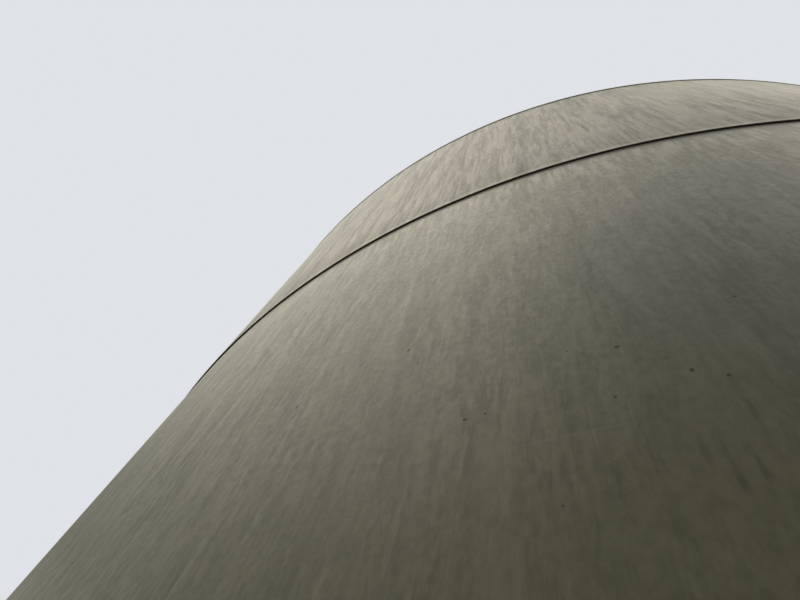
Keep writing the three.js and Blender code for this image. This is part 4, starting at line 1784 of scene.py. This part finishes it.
@dataclass
class Windows(SubAssembly):
    """The level windows: a domed moulding with a rubber ring and screws."""

    azimuth: float = 13.125
    radius: float = 75.0
    flange: float = 22.0
    screws: int = 8
    screw_out: float = 12.0
    screw_seat: float = 7.6
    screw_head: float = 4.0
    places: tuple[tuple[str, float, float], ...] = (
        ("lower", 2450.0, 2133.0),
        ("upper", 4008.0, 2137.6),
    )

    def build(self) -> None:
        """Builds each window."""
        hub, flange = self.radius - GAP, self.radius + self.flange
        profile = [(0.0, -6.0), (hub, -6.0), (hub, 1.0), (flange, 1.0), (flange, 7.0)]
        profile += [(hub - 8, 11.0), (0.85 * hub, 18.0), (0.6 * hub, 25.0), (0.3 * hub, 29.5), (0.0, 31.0)]
        spots = []
        for name, height, wall in self.places:
            where = turned(self.azimuth) @ aimed((wall, 0, height), (1, 0, 0))
            dome = Mould()
            dome.lathe(profile, 96, 1.2, where)
            self.dress(dome.cast(f"window_{name}"), Slot.WINDOW, f"level_window_{name}")
            gasket = Mould()
            gasket.lathe(oblong(hub + 1, flange + 3, -0.4, 2.2), 96, 0.8, where)
            self.dress(gasket.cast(f"window_gasket_{name}"), Slot.SEALANT)
            ring = hoop_path(self.radius + self.screw_out, self.screw_seat, self.screws)[:-1]
            spots += [(placed(where, spot), faced(where, UP)) for spot in ring]
        self.bolts("window_screws", spots, self.screw_head)


@dataclass
class Roof(SubAssembly):
    """The cone with its turned-down lip, the vent and the fill opening."""

    lip_outer: float = 2139.9
    lip_top: float = 4329.2815
    lip_drop: float = 12.0
    peak_radius: float = 305.0
    sheet: float = 2.0
    slope: float = 30.0
    steps: int = 20
    sides: int = 480
    vent_azimuth: float = 160.0
    vent_distance: float = 1100.0
    vent_radius: float = 125.0
    vent_rise: float = 190.0
    vent_sheet: float = 3.0
    cap_reach: float = 75.0
    strap_turns: tuple[float, ...] = (0, 120, 240)
    strap_bolts: tuple[float, ...] = (20, 60)
    strap_head: float = 5.0
    drill: float = 300.0
    collar_rise: float = 150.0
    lid_reach: float = 14.0
    lid_skirt: float = 50.0
    lid_crown: float = 40.0
    lid_sheet: float = 3.0

    @property
    def rise(self) -> float:
        """How far the roof rises over each millimetre inwards."""
        return math.tan(math.radians(self.slope))

    def height(self, distance: float) -> float:
        """Height of the roof's outside at a distance from the axis."""
        return self.lip_top + (self.lip_outer - distance) * self.rise

    def build(self) -> None:
        """Builds the sheets, the vent, and the collar with its lid."""
        self.build_sheets()
        self.build_vent()
        self.build_collar()
        self.build_lid()

    def sag(self, spot: Vector) -> Vector:
        """How the roof and its lip stray from a true cone.

        Args:
            spot: A place on them, in millimetres.

        Returns:
            How far the sheet is moved there, never outwards.
        """
        away = max(math.hypot(spot.x, spot.y), 1.0)
        out = Vector((spot.x / away, spot.y / away, 0))
        wave = noise.noise(Vector((out.x * 4, out.y * 4, 3.0)))
        near_lip = max(0.0, 1 - (self.lip_outer - away) / 60)
        return pressed(spot) * near_lip - Vector((0, 0, 0.1 + 0.1 * wave))

    def build_sheets(self) -> None:
        """Builds the cone of sheets with its vent hole and radial welds."""
        drop = self.sheet / math.cos(math.radians(self.slope))
        lip, lip_top, peak = self.lip_outer, self.lip_top, self.peak_radius
        inner, low, ease = lip - self.sheet, lip_top - self.lip_drop, 0.4
        span = lip - peak
        radii = [lip - span * k / self.steps for k in range(1, self.steps)]
        profile = [(inner + ease, low), (lip - ease, low), (lip, low + ease), (lip, lip_top - 3)]
        profile += [(lip - 0.7, lip_top - 0.6), (lip - 3, lip_top + 1.2)]
        profile += [(radius, self.height(radius)) for radius in radii]
        profile += [(peak, self.height(peak)), (peak, self.height(peak) - drop)]
        profile += [
            (inner - 2, self.height(inner - 2) - drop),
            (inner, self.height(inner) - drop - 1),
            (inner, low + ease),
        ]
        mould = Mould()
        mould.lathe(profile, self.sides)
        piece = moved(mould.cast("roof_cone"), self.sag)
        place = self.at_vent(self.height(self.vent_distance))
        drilled(piece, self.vent_radius, -self.drill, self.drill, 64, place)
        self.dress(piece, Slot.ROOF, *(f"roof_sheet_{k}" for k in range(1, 5)))
        ends = [(radius, self.height(radius) - 1) for radius in (lip - 20, peak + 8)]
        self.weld("roof_welds", meridians(QUARTERS, *ends), Slot.ROOF, 4.0)

    def at_vent(self, height: float = 0.0) -> Matrix:
        """Takes the origin to the vent's axis."""
        return turned(self.vent_azimuth) @ Matrix.Translation((self.vent_distance, 0, height))

    def build_vent(self) -> None:
        """Builds the vent pipe, its cap, straps and bolts, and the sealant round its foot."""
        middle = self.height(self.vent_distance)
        outer, sheet = self.vent_radius - GAP, self.vent_sheet
        low, top = middle - self.vent_radius * self.rise - 30, middle + self.vent_rise
        reach = self.vent_radius + self.cap_reach
        where = self.at_vent()
        vent = Mould()
        vent.lathe(oblong(outer - sheet, outer, low, top), 96, 0.8, where)
        cap = [(0.0, top + 40), (reach - sheet, top + 10), (reach - sheet, top - 30)]
        cap += [(reach, top - 30), (reach, top + 13), (0.0, top + 46)]
        vent.lathe(cap, 96, 1.2, where)
        bolts = []
        for turn in self.strap_turns:
            around = where @ turned(turn)
            vent.block((outer - 6, -15, top - 80), (outer - 1, 15, top + 25), 0.8, around)
            facing = faced(around, (1, 0, 0))
            bolts += [(placed(around, (outer, 0, top - drop)), facing) for drop in self.strap_bolts]
        self.dress(vent.cast("vent"), Slot.ZINC, "roof_vent")
        self.bolts("vent_bolts", bolts, self.strap_head)
        ring = [placed(where, spot) for spot in hoop_path(outer + 3, 0.0, 64)]
        ring = [(x, y, self.height(math.hypot(x, y)) + 1) for x, y, _ in ring]
        self.weld("vent_sealant", [ring], Slot.SEALANT, 6.0)

    def build_collar(self) -> None:
        """Builds the collar and its weld."""
        peak, outer = self.height(self.peak_radius), self.peak_radius - GAP
        collar = Mould()
        collar.lathe(oblong(outer - 4, outer, peak - 60, peak + self.collar_rise), 192, 1.0)
        self.dress(collar.cast("collar"), Slot.FRAME, "fill_collar")
        self.weld("collar_weld", [hoop_path(outer + 2, peak + 1, 192)], radius=5.0)

    def build_lid(self) -> None:
        """Builds the lid and its grip, hinge and latch."""
        seat = self.height(self.peak_radius) + self.collar_rise + GAP
        rim, reach = self.peak_radius - GAP - 20, self.peak_radius + self.lid_reach
        sheet, crown = self.lid_sheet, self.lid_crown
        (low, low_z), (high, high_z) = (
            (rim - 285 * share, seat + crown * math.sin(math.pi / 2 * share)) for share in (0.33, 0.66)
        )
        profile = [(0.0, seat + crown), (high, high_z - 8), (low, low_z - 6), (rim, seat)]
        skirt = seat - self.lid_skirt
        profile += [(reach - sheet, seat), (reach - sheet, skirt), (reach, skirt)]
        profile += [(reach, seat + sheet), (rim, seat + sheet), (low, low_z - 3), (high, high_z - 5)]
        lid = Mould()
        lid.lathe([*profile, (0.0, seat + crown + sheet)], 192, 1.2)
        foot, top = seat + 30, seat + 85
        lid.sweep(bent([(0, -60, foot), (0, -60, top), (0, 60, top), (0, 60, foot)], 20), 8.0, 16)
        self.dress(lid.cast("lid"), Slot.ROOF, "fill_lid")
        hinge = Mould()
        hinge.block((-reach - 10, -40, seat - 46), (-reach + 1, 40, seat - 6), 1.5)
        hinge.rod((-reach - 12, -52, seat - 10), (-reach - 12, 52, seat - 10), 7.0, 20, 1.0)
        hinge.block((reach - 1, -22, seat - 58), (reach + 8, 22, seat - 12), 1.5)
        hinge.rod((reach + 4, 0, seat - 70), (reach + 4, 0, seat - 20), 5.0, 16, 1.0)
        self.dress(hinge.cast("lid_hinge_and_latch"), Slot.ZINC)


@dataclass
class Ladders(SubAssembly):
    """The wall ladder on its brackets, and the roof ladder on its feet."""

    rail_y: float = 200.0
    rail: float = 10.0
    depth: float = 50.0
    pitch: float = 305.0
    rung: float = 11.0
    x: float = 2333.0
    low: float = 164.3
    high: float = 4658.0
    first_rung: float = 284.3
    wall_rungs: int = 15
    bracket: float = 50.0
    ring_height: float = 1000.0  # brackets under this stand on the base ring
    brackets: tuple[tuple[float, float], ...] = (
        (184.3, 2127.3),
        (1950.0, 2133.3),
        (2809.0, 2133.3),
        (3509.0, 2137.9),
        (4168.0, 2137.9),
    )
    roof_start: Corner = (2079.9, 4363.9225)
    roof_slope: float = 30.0
    roof_length: float = 1980.2
    roof_rungs: int = 6
    roof_first_rung: float = 150.0
    foot_inset: float = 120.0
    foot_half: float = 20.0
    foot_reach: float = 42.0
    foot_plate: float = 6.0
    foot_bolt: float = 24.0
    bolt_head: float = 6.0
    clear: float = 70.0
    roof_rail: float = 40.0

    def build(self) -> None:
        """Builds both ladders."""
        self.build_wall_ladder()
        self.build_roof_ladder()

    def sides(self) -> list[tuple[float, float, int]]:
        """The two faces of each rail in Y, and its side."""
        half = self.rail / 2
        return [(side * self.rail_y - half, side * self.rail_y + half, side) for side in (-1, 1)]

    def rungs(self, name: str, count: int, first: Vector, step: Vector) -> None:
        """Adds the rungs of one ladder.

        Args:
            name: The piece's name.
            count: How many there are.
            first: The middle of the first one.
            step: The way from each one to the next.
        """
        values = {"Count": count, "Start": tuple(first * MM), "Step": tuple(step * MM)}
        values["Radius"] = self.rung * MM
        values["Length"] = (2 * self.rail_y + self.rail + 2) * MM
        self.grow(self.trees.rungs, name, bpy.data.meshes.new(name), Slot.ZINC, values)

    def build_wall_ladder(self) -> None:
        """Builds the rails, brackets and rungs at the wall."""
        near, far = self.x - self.depth / 2, self.x + self.depth / 2
        ladder = Mould()
        bolts = []
        for y0, y1, side in self.sides():
            ladder.block((near, y0, self.low), (far, y1, self.high), 2.5)
            inner = (y0 - 55, y0) if side < 0 else (y1, y1 + 45)
            outside = y0 if side < 0 else y1
            for level, wall in self.brackets:
                reach = math.sqrt(wall * wall - self.rail_y * self.rail_y) + 0.4
                foot = min(wall - 1.2, reach) if level < self.ring_height else reach
                over = level + self.bracket
                ladder.block((foot, y0, level), (near + 6, y1, over), 1.5)
                ladder.block((foot - 1, inner[0], level), (foot + 5, inner[1], over), 1.5)
                for x in (near + 12, near - 14):
                    bolts.append(((x, outside, level + self.bracket / 2), (0, side, 0)))
        self.dress(ladder.cast("wall_rails"), Slot.ZINC, "wall_ladder")
        self.bolts("ladder_bolts", bolts, self.bolt_head)
        first = Vector((self.x, 0, self.first_rung))
        self.rungs("wall_rungs", self.wall_rungs, first, Vector((0, 0, self.pitch)))

    def build_roof_ladder(self) -> None:
        """Builds the rails, feet and rungs up the roof."""
        x, z = self.roof_start
        tilt = Matrix.Rotation(math.radians(self.roof_slope), 4, "Y")
        where = Matrix.Translation((x, 0, z)) @ tilt
        clear, length = self.clear, self.roof_length
        ladder = Mould()
        bolts = []
        for y0, y1, side in self.sides():
            ladder.block((-length, y0, clear), (0, y1, clear + self.roof_rail), 2.0, where)
            edge = y0 if side > 0 else y1
            y_in, y_out = sorted((edge, edge + side * self.foot_reach))
            for x in (-self.foot_inset, -length / 2, self.foot_inset - length):
                back, front, plate = x - self.foot_half, x + self.foot_half, self.foot_plate
                ladder.block((back, y0, 1.5), (front, y1, clear + 5), 1.5, where)
                ladder.block((back, y_in, 0.6), (front, y_out, plate), 1.2, where)
                spot = (x, side * (self.rail_y + self.foot_bolt), plate)
                bolts.append((placed(where, spot), faced(where, UP)))
        self.dress(ladder.cast("roof_rails"), Slot.ZINC, "roof_ladder")
        self.bolts("roof_ladder_bolts", bolts, self.bolt_head)
        first = where @ Vector((-self.roof_first_rung, 0, clear + self.roof_rail / 2))
        step = where.to_3x3() @ Vector((-self.pitch, 0, 0))
        self.rungs("roof_rungs", self.roof_rungs, first, step)


@dataclass
class Studio:
    """The pale floor, the soft light and the camera close under the wall."""

    eye: Point = (0.0, -2.41915, 1.72583)
    pitch: float = 0.43315  # from straight up, in radians
    roll: float = 0.3718
    yaw: float = 0.69258
    lens: float = 27.0
    sensor: float = 36.0
    seen_from: float = 0.01
    seen_to: float = 1000.0
    floor_reach: float = 400.0
    zenith: Colour = (1.74, 1.65, 1.4)
    horizon: Colour = (0.09, 0.103, 0.098)
    backdrop: Colour = (0.74, 0.762, 0.795)
    brightening: tuple[float, float] = (0.52, 1.054)  # from and to which rise the sky brightens
    shaded_azimuth: float = -63.8
    shaded_ways: tuple[float, float] = (0.39, 1.1)
    shaded_rises: tuple[float, float] = (1.007, 0.915)
    shade: float = 0.88
    side_azimuth: float = 205.5
    side_lean: float = 80.0
    side_from: float = 0.553
    side_light: float = 0.303
    far_ways: tuple[float, float] = (-0.2, 0.6)
    far_rises: tuple[float, float] = (0.55, 0.3)
    far_light: float = 0.5

    def camera_axes(self) -> Matrix:
        """The camera's turn from its pitch, roll and yaw.

        Returns:
            The turn.
        """
        cos, sin = math.cos(self.pitch), math.sin(self.pitch)
        level = Vector((-math.sin(self.yaw), math.cos(self.yaw), 0))
        zenith = Vector(UP)
        forward = cos * zenith + sin * level
        up = sin * zenith - cos * level
        right = forward.cross(up)
        turn_cos, turn_sin = math.cos(self.roll), math.sin(self.roll)
        rolled_right = turn_cos * right + turn_sin * up
        rolled_up = turn_cos * up - turn_sin * right
        return Matrix((rolled_right, rolled_up, -forward)).transposed().to_4x4()

    def build(self) -> None:
        """Builds the camera, the sky and the floor."""
        camera = bpy.data.objects.new("camera", bpy.data.cameras.new("camera"))
        camera.data.lens = self.lens
        camera.data.sensor_width = self.sensor
        camera.data.clip_start = self.seen_from
        camera.data.clip_end = self.seen_to
        camera.matrix_world = Matrix.Translation(self.eye) @ self.camera_axes()
        bpy.context.scene.collection.objects.link(camera)
        bpy.context.scene.camera = camera
        bpy.context.scene.view_settings.view_transform = "Standard"
        self.build_sky()
        self.build_floor()

    def build_sky(self) -> None:
        """Builds a soft sky, shaded on one side, behind a plain backdrop."""
        board = Board("sky", bpy.data.worlds.new("sky"))
        bpy.context.scene.world = board.material
        x, y, rise = board.parts(board.add("ShaderNodeTexCoord", {}, "Generated"))
        flat = ((x * x + y * y) ** 0.5).most(1e-4)
        shaded = polar(1.0, self.shaded_azimuth)
        facing = (shaded[0] * x + shaded[1] * y) / flat
        shade = self.shade * facing.ramp(*self.shaded_ways) * rise.ramp(*self.shaded_rises)
        side = polar(math.sin(math.radians(self.side_lean)), self.side_azimuth)
        sideways = side[0] * x + side[1] * y + math.cos(math.radians(self.side_lean)) * rise
        level = rise.ramp(*self.brightening) * (1 - shade)
        level = level + self.side_light * sideways.ramp(self.side_from, 1.0)
        level = level + self.far_light * (y / flat).ramp(*self.far_ways) * rise.ramp(*self.far_rises)
        light = board.mix(level, self.horizon, self.zenith)
        seen = board.add("ShaderNodeLightPath", {}, "Is Camera Ray")
        board.coat(Color=board.mix(seen, light, self.backdrop))

    def build_floor(self) -> None:
        """Builds the floor as stage."""
        mesh = bpy.data.meshes.new("floor")
        reach = self.floor_reach
        corners = [(-reach, -reach, 0), (reach, -reach, 0), (reach, reach, 0), (-reach, reach, 0)]
        mesh.from_pydata(corners, [], [(0, 1, 2, 3)])
        floor = linked("floor", mesh)
        board = Board("floor")
        cloud = board.noise(board.place(), 0.6, 3.0)
        board.coat(Base_Color=board.mix(cloud, srgb(196, 196, 193), srgb(206, 206, 203)))
        board.coat(Roughness=0.9)
        mesh.materials.append(board.material)


def main() -> None:
    """Builds and dresses the bin."""
    logging.basicConfig(level=logging.INFO, format="%(message)s")
    trees, materials = Trees(), finishes()
    kinds = [Skid, BaseRing, Legs, Braces, Hopper, Discharge, Gate, Wall, Windows, Roof, Ladders]
    Studio().build()
    for kind in kinds:
        LOG.info("building %s", kind.__name__)
        kind(trees, materials).build()


if __name__ == "__main__":
    main()
